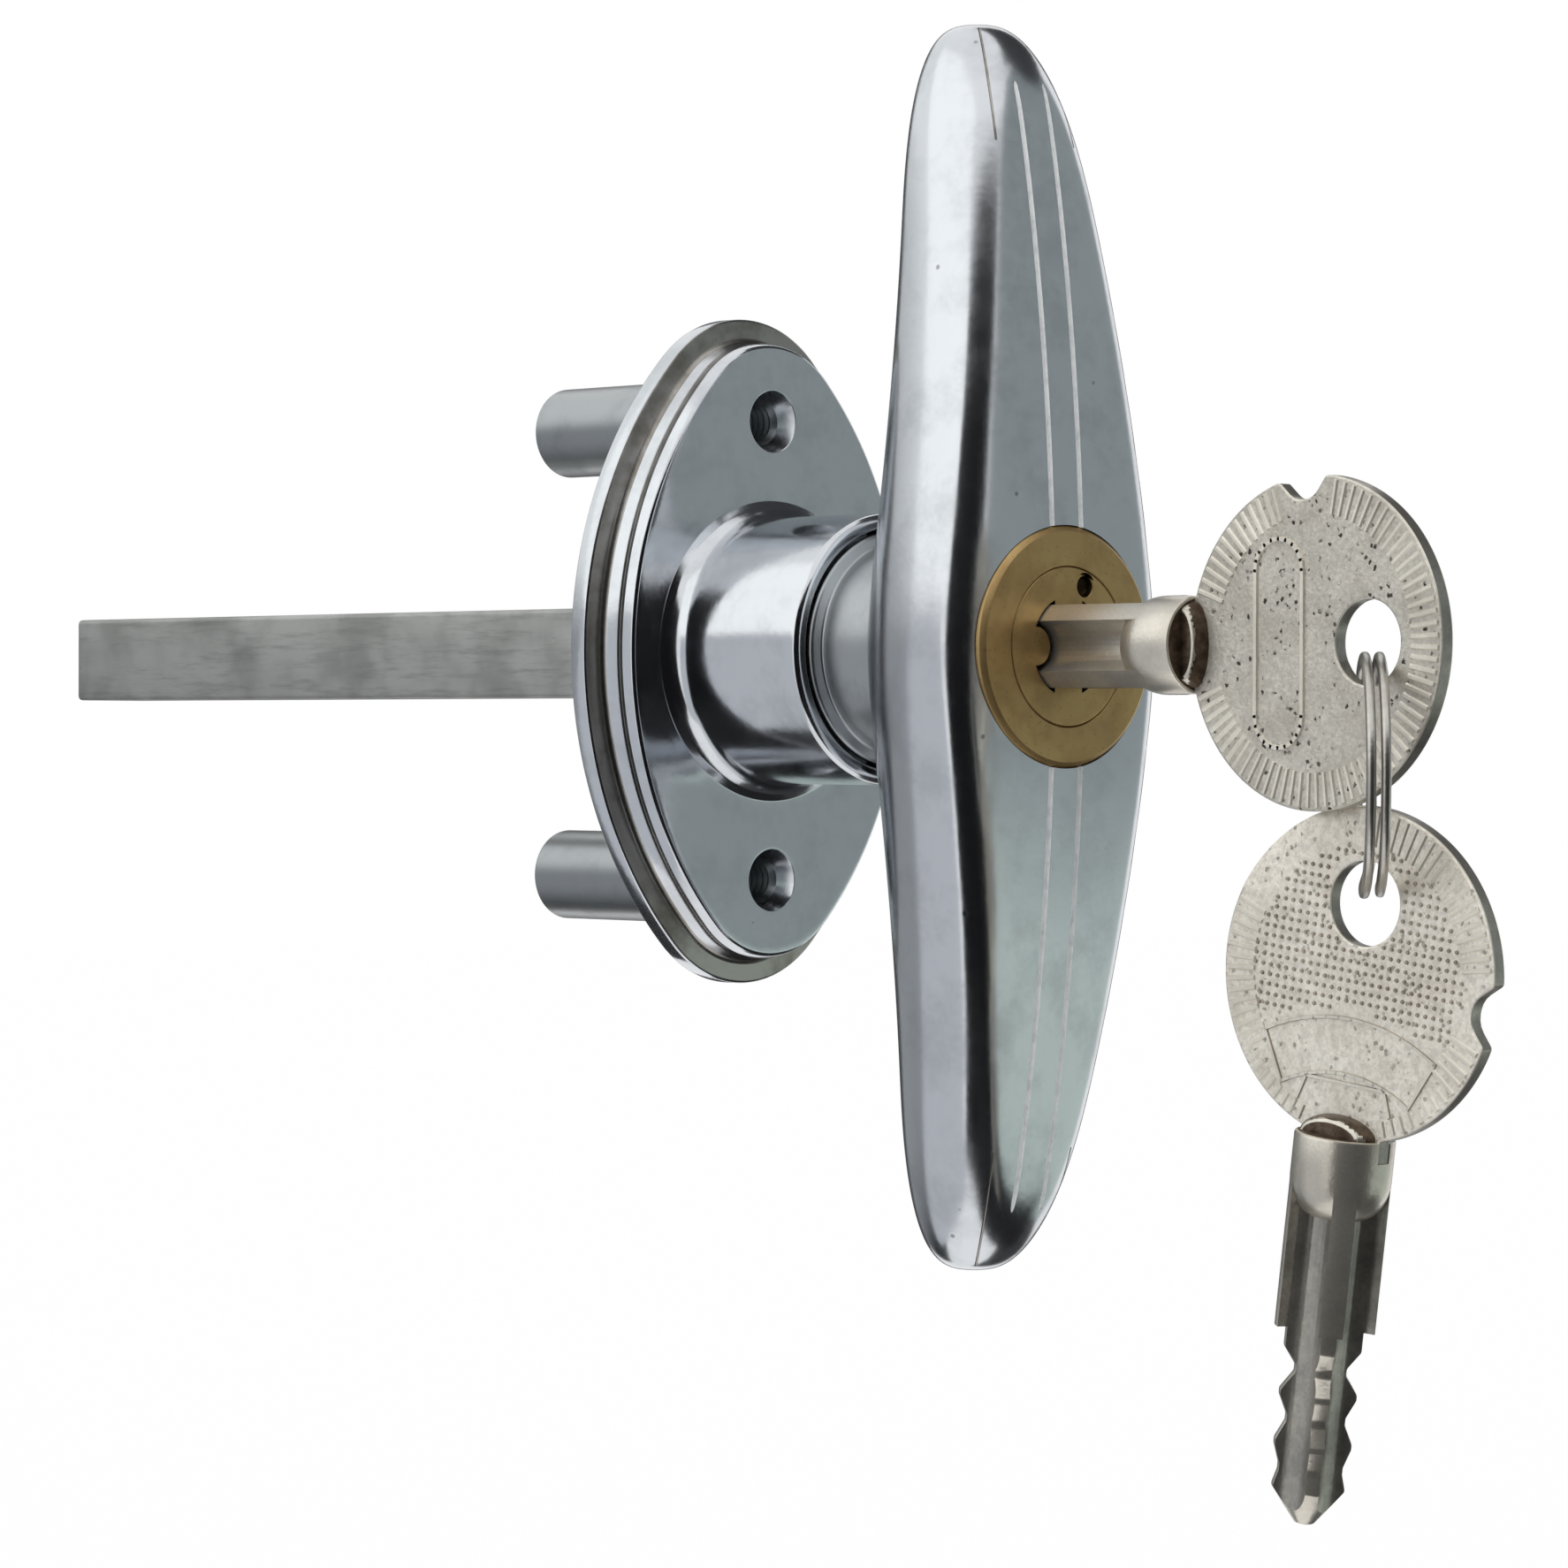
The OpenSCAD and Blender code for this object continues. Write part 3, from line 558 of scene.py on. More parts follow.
def grip_radius(t):
    round_off = 1.0
    if t > CAP_FROM:
        round_off = max(0.0, 1 - ((t - CAP_FROM) / (1 - CAP_FROM)) ** 3) ** (1 / 3)
    return (GRIP_R + 0.6 - GRIP_TAPER * 1.1 * math.sqrt(t * t + 0.0081)) * round_off


def grip_middle(t):
    return GRIP_AXIS - GRIP_SWEEP * t * t


def grip_reach(radius, angle):
    """Distance from the section's axis to its skin, at an angle from straight ahead."""
    c, s = math.cos(angle), math.sin(angle) ** 2
    if c <= 0.02:
        return radius
    top, bend = GRIP_FACE + GRIP_CROWN, GRIP_CROWN / 110
    face = top / c if s < 1e-4 else (math.sqrt(c * c + 4 * top * bend * s) - c) / (2 * bend * s)
    if radius < 1e-6:
        return 0.0
    return (radius ** -RIDGE_POWER + face ** -RIDGE_POWER) ** (-1 / RIDGE_POWER)


def grip_front(y):
    t = abs(y) / GRIP_HALF
    return grip_middle(t) + grip_reach(grip_radius(t), 0)


print("grip", round(grip_front(0), 2), "mm ahead of the door")

# %% [markdown]
# The neck is joined to the grip, and the insides are cut out: the pocket of the cylinder, the hollow
# for cam and bolt, the square socket, the bolt's slot and the holes of two pins. The engraved lines
# and the parting seams of the tips come last.

# %% Grip, neck and engraved lines
LINE_AT, LINE_R, LINE_DEEP, LINE_END, LINE_STEPS = 1.7, 0.3, 0.2, 47.5, 60
BARREL_R, BARREL_F, FACE_F = 10.0, 30.6, 42.2
NECK_PROFILE = fillet([
    (0, 1, 0), (8, 1, 0.3), (8, 1.8, 0), (7.2, 1.8, 0), (7.2, 3.1, 0), (8, 3.1, 0),
    (8, MOUTH_FLOOR + 0.1, 0), (10, MOUTH_FLOOR + 0.1, 0.15),
    (10, MOUTH_F + 0.15, 0.45), (9, MOUTH_F + 0.55, 0.3), (9, 31, 0), (0, 31, 0)])
HOLLOW_PATH = [(0, 12.55), (5.6, 12.55), (5.6, 24.4), (7, 24.4), (7, 31), (0, 31)]
SOCKET, SOCKET_END, FLAT_X = 4.02, 10.0, 7.0
CROSS_PIN = Matrix.Translation((0, 0, 7.5)) @ Matrix.Rotation(math.pi / 2, 4, "X")
HALF_PIN = Matrix.Translation((0, -10.3, 0))
CROSS_PIN_R, HALF_PIN_R = 1.52, 1.02


def line_point(side, end, share):
    """Middle of the round cutter of one engraved line, which runs out at its outer end."""
    y = 7 + (LINE_END - 7) * share
    deep = LINE_DEEP - 0.75 * max(0.0, share - 0.97) / 0.03 * LINE_DEEP
    return Vector((side * LINE_AT, end * y, grip_front(y) + LINE_R - deep))


def seam_point(side, end, share):
    """A point of the parting line, which runs on from the ridge over the rounded tip."""
    t = 0.80 + 0.19 * share
    reach = grip_reach(grip_radius(t), 0.74) + 0.025
    return Vector((side * reach * math.sin(0.74), end * t * GRIP_HALF,
                   grip_middle(t) + reach * math.cos(0.74)))


def engrave(piece, path, radius, finish):
    """Cuts a round groove along a path."""
    groove = bmesh.new()
    ring = bmesh.ops.create_circle(groove, cap_ends=True, segments=16, radius=radius)["verts"]
    rotate(groove, ring, math.pi / 2, "X")
    move(groove, ring, path[0])
    face = groove.faces[:]
    for here, ahead in zip(path, path[1:]):
        made = bmesh.ops.extrude_face_region(groove, geom=face)["geom"]
        inner = [f for f in face if f.is_valid and here != path[0]]
        bmesh.ops.delete(groove, geom=inner, context="FACES_ONLY")
        face = [g for g in made if isinstance(g, bmesh.types.BMFace)]
        bmesh.ops.translate(groove, vec=ahead - here, verts=verts_in(made))
    cut(piece, cutter(groove, "line_tool", finish))


def make_grip():
    bm = bmesh.new()
    bmesh.ops.create_uvsphere(bm, u_segments=160, v_segments=180, radius=1)
    for v in bm.verts:
        t = min(1.0, abs(v.co.z))
        turn = math.atan2(v.co.x, v.co.y)
        angle = turn - math.radians(5.5) * math.sin(2 * turn)
        reach = grip_reach(grip_radius(t), angle)
        v.co = (reach * math.sin(angle), v.co.z * GRIP_HALF, grip_middle(t) + reach * math.cos(angle))
    piece = settle(bm, "grip", "handle", grip_chrome, node="t_handle")

    neck = bmesh.new()
    lathe(neck, NECK_PROFILE)
    cut(piece, cutter(neck, "neck_tool", post_chrome), "UNION")
    pocket = bmesh.new()
    rod(pocket, BARREL_R + 0.06, BARREL_F, BARREL_F + 20, segments=128)
    cut(piece, cutter(pocket, "pocket_tool"))
    hollow, ways = bmesh.new(), bmesh.new()
    lathe(hollow, HOLLOW_PATH)
    block(hollow, (-SOCKET, -SOCKET, 0), (SOCKET, SOCKET, SOCKET_END))
    for side in (-1, 1):
        block(hollow, (side * (FLAT_X + 2.5) - 2.5, -15, 0.2), (side * (FLAT_X + 2.5) + 2.5, 15, RECESS_F))
    cut(piece, cutter(hollow, "hollow_tool", post_chrome))
    block(ways, (0, -2.1, BOLT_F - 2.05), (8.6, 2.1, BOLT_F + 2.05))
    rod(ways, HALF_PIN_R, BARREL_F - 8, BARREL_F + 8, HALF_PIN)
    rod(ways, CROSS_PIN_R, -16, 16, CROSS_PIN)
    cut(piece, cutter(ways, "way_tool", post_chrome))
    for side in (-1, 1):
        for end in (-1, 1):
            points = [line_point(side, end, k / LINE_STEPS) for k in range(LINE_STEPS + 1)]
            # The engraved lines take the pale painted highlight.
            engrave(piece, points, LINE_R, line_painted_highlight)
            # The seams take the same darker dull chrome, as painted shade in their grooves.
            engrave(piece, [seam_point(side, end, k / 20) for k in range(21)], 0.11, dull_shaded_chrome)
    print("grip after cuts", len(piece.data.polygons), "faces")
    return piece


grip = make_grip()

# %% [markdown]
# The square bar is the plainest piece: a block with its long edges broken and its end rounded off
# a little, as drawn bar is after sawing and tumbling. A pin holds it in the grip's socket.

# %% Square bar
BAR_W, BAR_BACK, BAR_FRONT = 8.0, -92.3, 9.98


def make_bar():
    bm = bmesh.new()
    bmesh.ops.create_cube(bm, size=1)
    bmesh.ops.scale(bm, vec=(BAR_W, BAR_W, BAR_FRONT - BAR_BACK), verts=bm.verts)
    move(bm, bm.verts, (0, 0, (BAR_FRONT + BAR_BACK) / 2))
    bevel(bm, bm.edges[:], 0.45, 4)
    piece = settle(bm, "square_bar", "handle", bar_zinc, node="spindle", sharp=60)
    hole = bmesh.new()
    rod(hole, CROSS_PIN_R, -16, 16, CROSS_PIN)
    cut(piece, cutter(hole, "pin_tool", bar_zinc), sharp=60)
    return piece


square_bar = make_bar()

# %% [markdown]
# Barrel and plug are turned brass. The barrel is a ring with a broken outer edge. The plug fits in
# it with a hairline gap, and has the cross shaped keyway and the small round mark of its face. Four
# rows of three tumblers run in bores through both.

# %% Barrel
PLUG_R, TAIL_R, TAIL_END, LIP_T = 6.6, 4.85, 24.6, 1.2
PIN_FIRST, PIN_PITCH, PIN_BORE = 2.9, 3.2, 0.85
TUMBLERS = [Matrix.Translation((0, 0, FACE_F - PIN_FIRST - PIN_PITCH * i))
            @ Matrix.Rotation(math.radians(45 + 90 * row), 4, "Z") @ Matrix.Rotation(math.pi / 2, 4, "Y")
            for row in range(4) for i in range(3)]
BARREL_PATH = fillet([
    (TAIL_R + 0.05, BARREL_F, 0), (BARREL_R, BARREL_F, 0.2), (BARREL_R, FACE_F - 0.4, 0.1),
    (BARREL_R - 0.45, FACE_F, 0.12), (PLUG_R + 0.05, FACE_F, 0.12), (PLUG_R + 0.05, BARREL_F + LIP_T, 0),
    (TAIL_R + 0.05, BARREL_F + LIP_T, 0), (TAIL_R + 0.05, BARREL_F, 0)], bend=20)


def make_barrel():
    bm = bmesh.new()
    lathe(bm, BARREL_PATH)
    piece = settle(bm, "barrel", "handle", brass, node="lock_barrel")
    bores = bmesh.new()
    for place in TUMBLERS:
        rod(bores, PIN_BORE, PLUG_R - 0.6, BARREL_R + 1, place)
    rod(bores, HALF_PIN_R, BARREL_F - 0.5, BARREL_F + 8, HALF_PIN)
    cut(piece, cutter(bores, "bore_tool", brass))
    return piece


barrel = make_barrel()

# %% Cross outline and plug
FLUTE_C, FLUTE_R, LAND_R, COLLAR_R = 3.75, 2.1, 3.1, 4.0
CUT_L, SEAT_IN = 15.8, 0.8
WAY_DEPTH = CUT_L + SEAT_IN + 0.4
DIMPLE = (1.9, 5.0)


def arc(bm, start, centre, angle, steps):
    """Spins one vertex into an arc and returns the vertex at its end."""
    made = bmesh.ops.spin(bm, geom=[start], cent=centre, axis=UP, angle=angle, steps=steps)["geom_last"]
    return verts_in(made)[0]


def cross_outline(bm, radius, flute_r, height):
    """A disc with four round flutes, as a closed loop: blade and keyway share this section."""
    along = (radius ** 2 + FLUTE_C ** 2 - flute_r ** 2) / (2 * FLUTE_C)
    half = math.acos(along / radius)
    open_half = math.asin(radius * math.sin(half) / flute_r)
    if along > FLUTE_C:
        open_half = math.pi - open_half
    first = bm.verts.new((radius * math.cos(half), radius * math.sin(half), height))
    end = first
    for k in range(4):
        end = arc(bm, end, (0, 0, height), math.pi / 2 - 2 * half, 5)
        a = math.pi / 2 * (k + 1)
        end = arc(bm, end, (FLUTE_C * math.cos(a), FLUTE_C * math.sin(a), height), -2 * open_half, 14)
    merge(bm)


def make_plug():
    bm = bmesh.new()
    shoulder = FACE_F - SEAT_IN
    for radius, flute_r, top, deep in ((COLLAR_R + 0.15, FLUTE_R - 0.5, FACE_F, SEAT_IN),
                                       (LAND_R + 0.15, FLUTE_R - 0.12, shoulder, WAY_DEPTH - SEAT_IN)):
        before = set(bm.edges)
        cross_outline(bm, radius, flute_r, top)
        walls = bmesh.ops.extrude_edge_only(bm, edges=[e for e in bm.edges if e not in before])["geom"]
        low = verts_in(walls)
        move(bm, low, (0, 0, -deep))
    for height in (shoulder, FACE_F - WAY_DEPTH):
        fill(bm, height)
    lathe(bm, fillet([
        (PLUG_R - 0.4, FACE_F, 0), (PLUG_R, FACE_F, 0.14), (PLUG_R, BARREL_F + LIP_T + 0.1, 0),
        (TAIL_R, BARREL_F + LIP_T + 0.1, 0), (TAIL_R, 30.45, 0), (4.3, 30.45, 0), (4.3, 29.45, 0),
        (TAIL_R, 29.45, 0),
        (TAIL_R, TAIL_END, 0.2), (0, TAIL_END, 0)], bend=20))
    mark = fillet([(1.15, FACE_F, 0), (0.9, FACE_F, 0.1), (0.75, FACE_F - 0.7, 0.3), (0, FACE_F - 0.75, 0)],
                  bend=20)
    lathe(bm, mark, steps=32, centre=DIMPLE)
    merge(bm)
    fill(bm, FACE_F)
    # Faces inside the keyway and the round mark take the near black brass, as painted shade.
    for face in bm.faces:
        middle = face.calc_center_median()
        inside = middle.xy.length < COLLAR_R + 0.2 or (middle.xy - Vector(DIMPLE)).length < 0.9
        face.material_index = int(inside and FACE_F - WAY_DEPTH - 0.1 < middle.z < FACE_F - 0.05)
    piece = settle(bm, "plug", "plug", [brass, keyway_shade_brass], node="lock_plug")
    tongue, bores = bmesh.new(), bmesh.new()
    block(tongue, (-3.88, -1.5, TAIL_END - 1.6), (3.88, 1.5, TAIL_END + 0.1))
    cut(piece, cutter(tongue, "tongue_tool", brass), "UNION")
    for place in TUMBLERS:
        rod(bores, PIN_BORE, LAND_R - 0.2, PLUG_R + 1, place)
    cut(piece, cutter(bores, "bore_tool", brass))
    return piece


plug = make_plug()

# %% [markdown]
# A key is two pieces: a milled blade with four fins, whose cuts lift the tumblers, and a stamped
# disc riveted into the collar. Both keys are the same, so each piece is a function that is given
# the place where it goes.

# %% Key blade
VALLEY_R, CUT_FIRST, CUT_PITCH = 2.4, 3.3, 4.0
NOSE_Z, COLLAR_Z, LIP_Z, RIB_H, RIB_HALF, SLOT_Z, BOW_T = 8.2, 11.9, 14.9, 1.6, 2.2, 13.2, 1.4

SPARE_AT = (2.0, -73.55, -20.502)
IN_LOCK = STAND @ Matrix.Translation((0, 0, FACE_F))
HANGING = (Matrix.Scale(MM, 4) @ Matrix.Translation(SPARE_AT) @ Matrix.Rotation(math.radians(7.8), 4, "X")
           @ Matrix.Rotation(math.radians(184.2), 4, "Z") @ Matrix.Translation((0, 0, -33.35)))


def cut_path():
    """Half outline of the cut part of the blade: a long pointed tip, then three rounded valleys."""
    path = [(0, -CUT_L, 0), (0.75, -CUT_L, 0.3), (LAND_R - 0.15, -CUT_L + 2.9, 0.35)]
    for i, depth in ((2, -0.2), (1, 0.0), (0, 0.3)):
        z = -CUT_FIRST - CUT_PITCH * i
        path += [(VALLEY_R - depth, z - 0.3, 0.5), (VALLEY_R - depth, z + 0.3, 0.5)]
        path += [(LAND_R, z + CUT_PITCH / 2 - 0.2, 0.4), (LAND_R, z + CUT_PITCH / 2 + 0.2, 0.4)] if i else []
    wide, end = COLLAR_R + 1, COLLAR_Z + 2
    path += [(LAND_R, -1.6, 0.4), (LAND_R, 0, 0), (wide, 0, 0), (wide, end, 0), (0, end, 0)]
    return [(r, z - SEAT_IN) for r, z in fillet(path, bend=15)]


def end_rib():
    """The low rib on the collar's end that the bow stands in: a dome with its two sides cut off."""
    bm = bmesh.new()
    radius = COLLAR_R - 0.4
    angles = [math.pi / 2 * k / 10 for k in range(10)]
    dome = [(radius * math.cos(a), LIP_Z + RIB_H * math.sin(a)) for a in angles]
    lathe(bm, [(0, LIP_Z - 0.5), (radius, LIP_Z - 0.5), *dome, (0, LIP_Z + RIB_H)], steps=96)
    merge(bm)
    for side in (1, -1):
        whole = bm.verts[:] + bm.edges[:] + bm.faces[:]
        made = bmesh.ops.bisect_plane(bm, geom=whole, plane_co=(side * RIB_HALF, 0, 0), plane_no=(side, 0, 0),
                                      clear_outer=True)["geom_cut"]
        bmesh.ops.contextual_create(bm, geom=edges_in(made))
    sides = [e for e in bm.edges
             if all(abs(abs(v.co.x) - RIB_HALF) < 1e-4 and v.co.z > LIP_Z - 0.1 for v in e.verts)]
    bevel(bm, sides, 0.26, 2)
    return bm


def make_blade(name, body, node, place, flutes):
    fins = bmesh.new()
    tip = -CUT_L - SEAT_IN - 1
    cross_outline(fins, COLLAR_R, FLUTE_R, tip)
    walls = bmesh.ops.extrude_edge_only(fins, edges=fins.edges[:])["geom"]
    far = verts_in(walls)
    move(fins, far, (0, 0, COLLAR_Z - tip))
    for height in (tip, COLLAR_Z):
        fill(fins, height)
    piece = settle(fins, name, body, nickel, node=node)
    shape = bmesh.new()
    lathe(shape, cut_path(), steps=96)
    cut(piece, cutter(shape, "cut_tool"), "INTERSECT")
    collar = bmesh.new()
    core, full = FLUTE_C - FLUTE_R, COLLAR_R + 0.03
    nose = [(core + (full - core) * math.sin(a), COLLAR_Z - 0.5 - (COLLAR_Z - 0.5 - NOSE_Z) * math.cos(a))
            for a in [math.pi / 2 * k / 12 for k in range(13)]]
    lathe(collar, [(0, NOSE_Z), *nose, (full, LIP_Z - 0.25), (full - 0.07, LIP_Z - 0.07),
                   (full - 0.25, LIP_Z), (0, LIP_Z)])
    cut(piece, cutter(collar, "collar_tool"), "UNION")
    cut(piece, cutter(end_rib(), "rib_tool"), "UNION")
    slit = bmesh.new()
    bmesh.ops.create_cube(slit, size=1)
    bmesh.ops.scale(slit, vec=(BOW_T, 10, 10), verts=slit.verts)
    move(slit, slit.verts, (0, 0, SLOT_Z + 5))
    cut(piece, cutter(slit, "slit_tool"))
    piece.data.transform(STAND.inverted())
    for finish in (painted_end_reflection, flutes):
        piece.data.materials.append(finish)
    for face in piece.data.polygons:
        middle, way = face.center, face.normal
        off_axis = math.hypot(middle.x, middle.y)
        outward = (middle.x * way.x + middle.y * way.y) / max(off_axis, 1e-6)
        # The collar's end and rib take the dark brown painted reflection; the rib's bevels stay bright nickel.
        if middle.z > LIP_Z - 0.02 and not 0.45 < abs(way.x) < 0.97:
            face.material_index = 1
        # Flute faces take the flutes finish; on the spare it is the darker nickel, a painted dark reflection.
        elif middle.z < COLLAR_Z and abs(way.z) < 0.05 and (outward < 0.9 or off_axis < VALLEY_R - 0.4):
            face.material_index = 2
    piece.data.transform(place)
    return piece


key_blade = make_blade("key_blade_in_lock", "key", "key_blade", IN_LOCK, nickel)
spare_blade = make_blade("key_blade_spare", "spare_key", "spare_key_blade", HANGING, shaded_nickel)

# %% [markdown]
# The bow is a stamped disc. One face has a rough field with a raised long frame across it, left
# bare here, and the other has rows of small dots and a fan shaped frame. Short radial ribs run
# round both faces, and the rim has an eye for the ring and one small notch. The spare's dotted
# face is thinned along a bit of its rim and has no ribs there, so that it clears the other bow
# when it swings.

# %% Key bow
BOW_R, BOW_Z, EYE_R, EYE_OFF = 13.3, 27.7, 3.4, 5.65
RIB_COUNT, RIB_IN, RIB_OUT = 84, 10.2, 13.05
FOOT_HALF, NOTCH_TURN = 3.95, math.radians(-5.5)
FACE_A, FACE_B = -1, 1
SHADED_WORN_WALL, SHADE_AND_DIRT = 3, 4
THIN_FROM, THIN_SLOPE = 11.4, 0.21


def bow_outline():
    """Disc with a notch on its +y side and a foot for the collar's slot, as (y, z) points."""
    lip, wide = 0.19, 0.25
    notch = [(BOW_R * math.cos(lip), BOW_R * math.sin(lip), 0.45), (BOW_R - 1.9, 0.95, 1.9),
             (BOW_R - 1.9, -0.95, 1.9), (BOW_R * math.cos(lip), -BOW_R * math.sin(lip), 0.45)]
    turn = Matrix.Rotation(-NOTCH_TURN, 2)
    notch = [(*(Vector((y, z)) @ turn), radius) for y, z, radius in notch]
    foot = math.asin(FOOT_HALF / BOW_R)
    start, stop = math.tau + NOTCH_TURN - wide, math.pi * 1.5 - foot
    down = [start + (math.pi * 1.5 + foot - start) * k / 56 for k in range(57)]
    up = [stop + (NOTCH_TURN + wide - stop) * k / 168 for k in range(169)]
    ring, rest = [[(BOW_R * math.cos(a), BOW_R * math.sin(a), 0) for a in angles] for angles in (down, up)]
    base = [(FOOT_HALF, SLOT_Z + 0.02 - BOW_Z, 0), (-FOOT_HALF, SLOT_Z + 0.02 - BOW_Z, 0)]
    return [(p.x, BOW_Z + p.y) for p in fillet([rest[-1], *notch, *ring, *base, *rest[:-1]], bend=15)]


def near(angle, other, within):
    """Whether two angles differ by less than within, either way round."""
    return abs((angle - other + math.pi) % math.tau - math.pi) < within


def thin_rim(bm, angle):
    """Slices a flat wedge off one face at the rim, deepest at the given angle."""
    out = Vector((0, math.cos(angle), math.sin(angle)))
    bmesh.ops.bisect_plane(bm, geom=bm.verts[:] + bm.edges[:] + bm.faces[:], dist=1e-5, clear_outer=True,
                           plane_co=Vector((FACE_B * BOW_T / 2, 0, BOW_Z)) + out * THIN_FROM,
                           plane_no=Vector((FACE_B, 0, 0)) + out * THIN_SLOPE)
    old = set(bm.faces)
    bmesh.ops.triangle_fill(bm, use_beauty=True, edges=[e for e in bm.edges if e.is_boundary])
    for face in set(bm.faces) - old:
        face.material_index = 2
    bmesh.ops.recalc_face_normals(bm, faces=bm.faces)


def bar_on_face(bm, face, y, z, length, width, height, turn, narrow=0.55, side=0):
    """A small raised bar on one face of the bow, lying along turn. Its sloping sides take slot side."""
    bar = bmesh.ops.create_cube(bm, size=1)["verts"]
    bmesh.ops.scale(bm, vec=(height * 2, length, width), verts=bar)
    top = [v for v in bar if v.co.x * face > 0]
    bmesh.ops.scale(bm, vec=(1, 1 - 0.12 / length, narrow), verts=top)
    for slope in {f for v in top for f in v.link_faces if len(set(f.verts) & set(top)) == 2}:
        slope.material_index = side
    rotate(bm, bar, turn, "X")
    move(bm, bar, (face * BOW_T / 2, y, BOW_Z + z))


def raised_line(bm, face, points, width=0.42, height=0.16, closed=True, side=0):
    """A raised line along (y, z) points on one face."""
    pairs = list(zip(points, points[1:])) + ([(points[-1], points[0])] if closed else [])
    for (y0, z0), (y1, z1) in pairs:
        span = math.hypot(y1 - y0, z1 - z0)
        bar_on_face(bm, face, (y0 + y1) / 2, (z0 + z1) / 2, span + width * 0.6, width, height,
                    math.atan2(z1 - z0, y1 - y0), side=side)


def stadium(y_half, z_half, z_at):
    """Points of a long round ended frame across the key."""
    r, angles = z_half, [math.pi * (k / 10 - 0.5) for k in range(11)]
    ends = [(y_half - r + r * math.cos(a), z_at + r * math.sin(a)) for a in angles]
    return ends + [(-y, 2 * z_at - z) for y, z in ends]


def fan_points(inner, outer, spread, centre):
    """Points of a fan shaped frame, as part of a ring round centre below."""
    angles = [math.pi / 2 + spread * (1 - 2 * k / 14) for k in range(15)]
    top = [(outer * math.cos(a), centre + outer * math.sin(a)) for a in angles]
    bottom = [(inner * math.cos(a), centre + inner * math.sin(a)) for a in reversed(angles)]
    return top + bottom


def make_bow(name, body, node, place, thinned=None):
    bm = bmesh.new()
    wire_path(bm, [(-BOW_T / 2, y, z) for y, z in bow_outline()], closed=True)
    eye = bmesh.ops.create_circle(bm, segments=64, radius=EYE_R)["verts"]
    rotate(bm, eye, math.pi / 2, "Y")
    move(bm, eye, (-BOW_T / 2, 0, BOW_Z + EYE_OFF))
    bmesh.ops.triangle_fill(bm, use_beauty=True, edges=bm.edges[:])
    grown = bmesh.ops.extrude_face_region(bm, geom=bm.faces[:])["geom"]
    move(bm, verts_in(grown), (BOW_T, 0, 0))
    bmesh.ops.recalc_face_normals(bm, faces=bm.faces)
    rim = [e for e in bm.edges if e.is_manifold and e.calc_face_angle() > 1.2
           and abs(e.verts[0].co.x - e.verts[1].co.x) < 1e-6]
    bevel(bm, rim, 0.16, 2)
    for face in bm.faces:
        way = face.normal.x
        # Walls of the rim and eye take the darker nickel: painted shade in the eye, and the darker worn edge
        # of the rim.
        face.material_index = 1 if way < -0.7 else 2 if way > 0.7 else SHADED_WORN_WALL if abs(way) < 0.3 else 0
    if thinned is not None:
        thin_rim(bm, thinned)

    for face in (FACE_A, FACE_B):
        for k in range(RIB_COUNT):
            a = math.tau * (k + 0.5) / RIB_COUNT
            if near(a, NOTCH_TURN, 0.24) or near(a, -math.pi / 2, 0.3):
                continue
            if thinned is not None and face == FACE_B and near(a, thinned, 0.56):
                continue
            start = RIB_IN + 1.5 if face == FACE_B and math.sin(a) < -0.62 else RIB_IN
            middle = (start + RIB_OUT) / 2
            bar_on_face(bm, face, middle * math.cos(a), middle * math.sin(a), RIB_OUT - start, 0.7, 0.15, a,
                        narrow=0.32)
    raised_line(bm, FACE_A, stadium(8.3, 2.5, -3.6), width=0.6, height=0.2)
    # The fan and bar lines' sloping sides take the darker nickel as painted shade.
    raised_line(bm, FACE_B, fan_points(13.2, 17.6, 0.5, -21.2), side=SHADE_AND_DIRT)
    raised_line(bm, FACE_B, [(-4.6, -10.6), (-3.9, -8.7), (3.9, -8.7), (4.6, -10.6)], closed=False, side=SHADE_AND_DIRT)
    for row in range(-4, 14):
        for column in range(-13, 14):
            y, z = column * 0.78, row * 0.78 - 0.6
            over_fan = math.hypot(y, z + 21.2) < 18.4 and z < 0
            if math.hypot(y, z) > 10.2 or math.hypot(y, z - EYE_OFF) < EYE_R + 0.5 or over_fan:
                continue
            dot = bmesh.ops.create_cone(bm, cap_ends=True, segments=8, radius1=0.24, radius2=0.14,
                                        depth=0.3)["verts"]
            rotate(bm, dot, math.pi / 2, "Y")
            move(bm, dot, (BOW_T / 2, y, BOW_Z + z))
            # The dots are darker nickel all over: painted shade and dirt.
            for spot in {f for v in dot for f in v.link_faces}:
                spot.material_index = SHADE_AND_DIRT
    finishes = [bow_nickel, pitted_field, dotted_field, shaded_nickel, shade_and_dirt_nickel]
    return settle(bm, name, body, finishes, node=node, place=place, outward=False, sharp=20)


key_bow = make_bow("key_bow_in_lock", "key", "key_bow", IN_LOCK)
spare_bow = make_bow("key_bow_spare", "spare_key", "spare_key_bow", HANGING, thinned=math.radians(126))

# %% [markdown]
# The split ring is one flat wire wound in two turns side by side, with a jog where it steps from
# one turn to the other. The wire's rounded section is spun round the ring's axis in three stages,
# and the middle one also climbs.

# %% Split ring
RING_IN, WIRE_W, WIRE_T, RING_GAP, RING_LAP = 8.4, 1.3, 0.8, 0.35, math.radians(40)
RING_AT = (1.0, -74.55, -10.401)


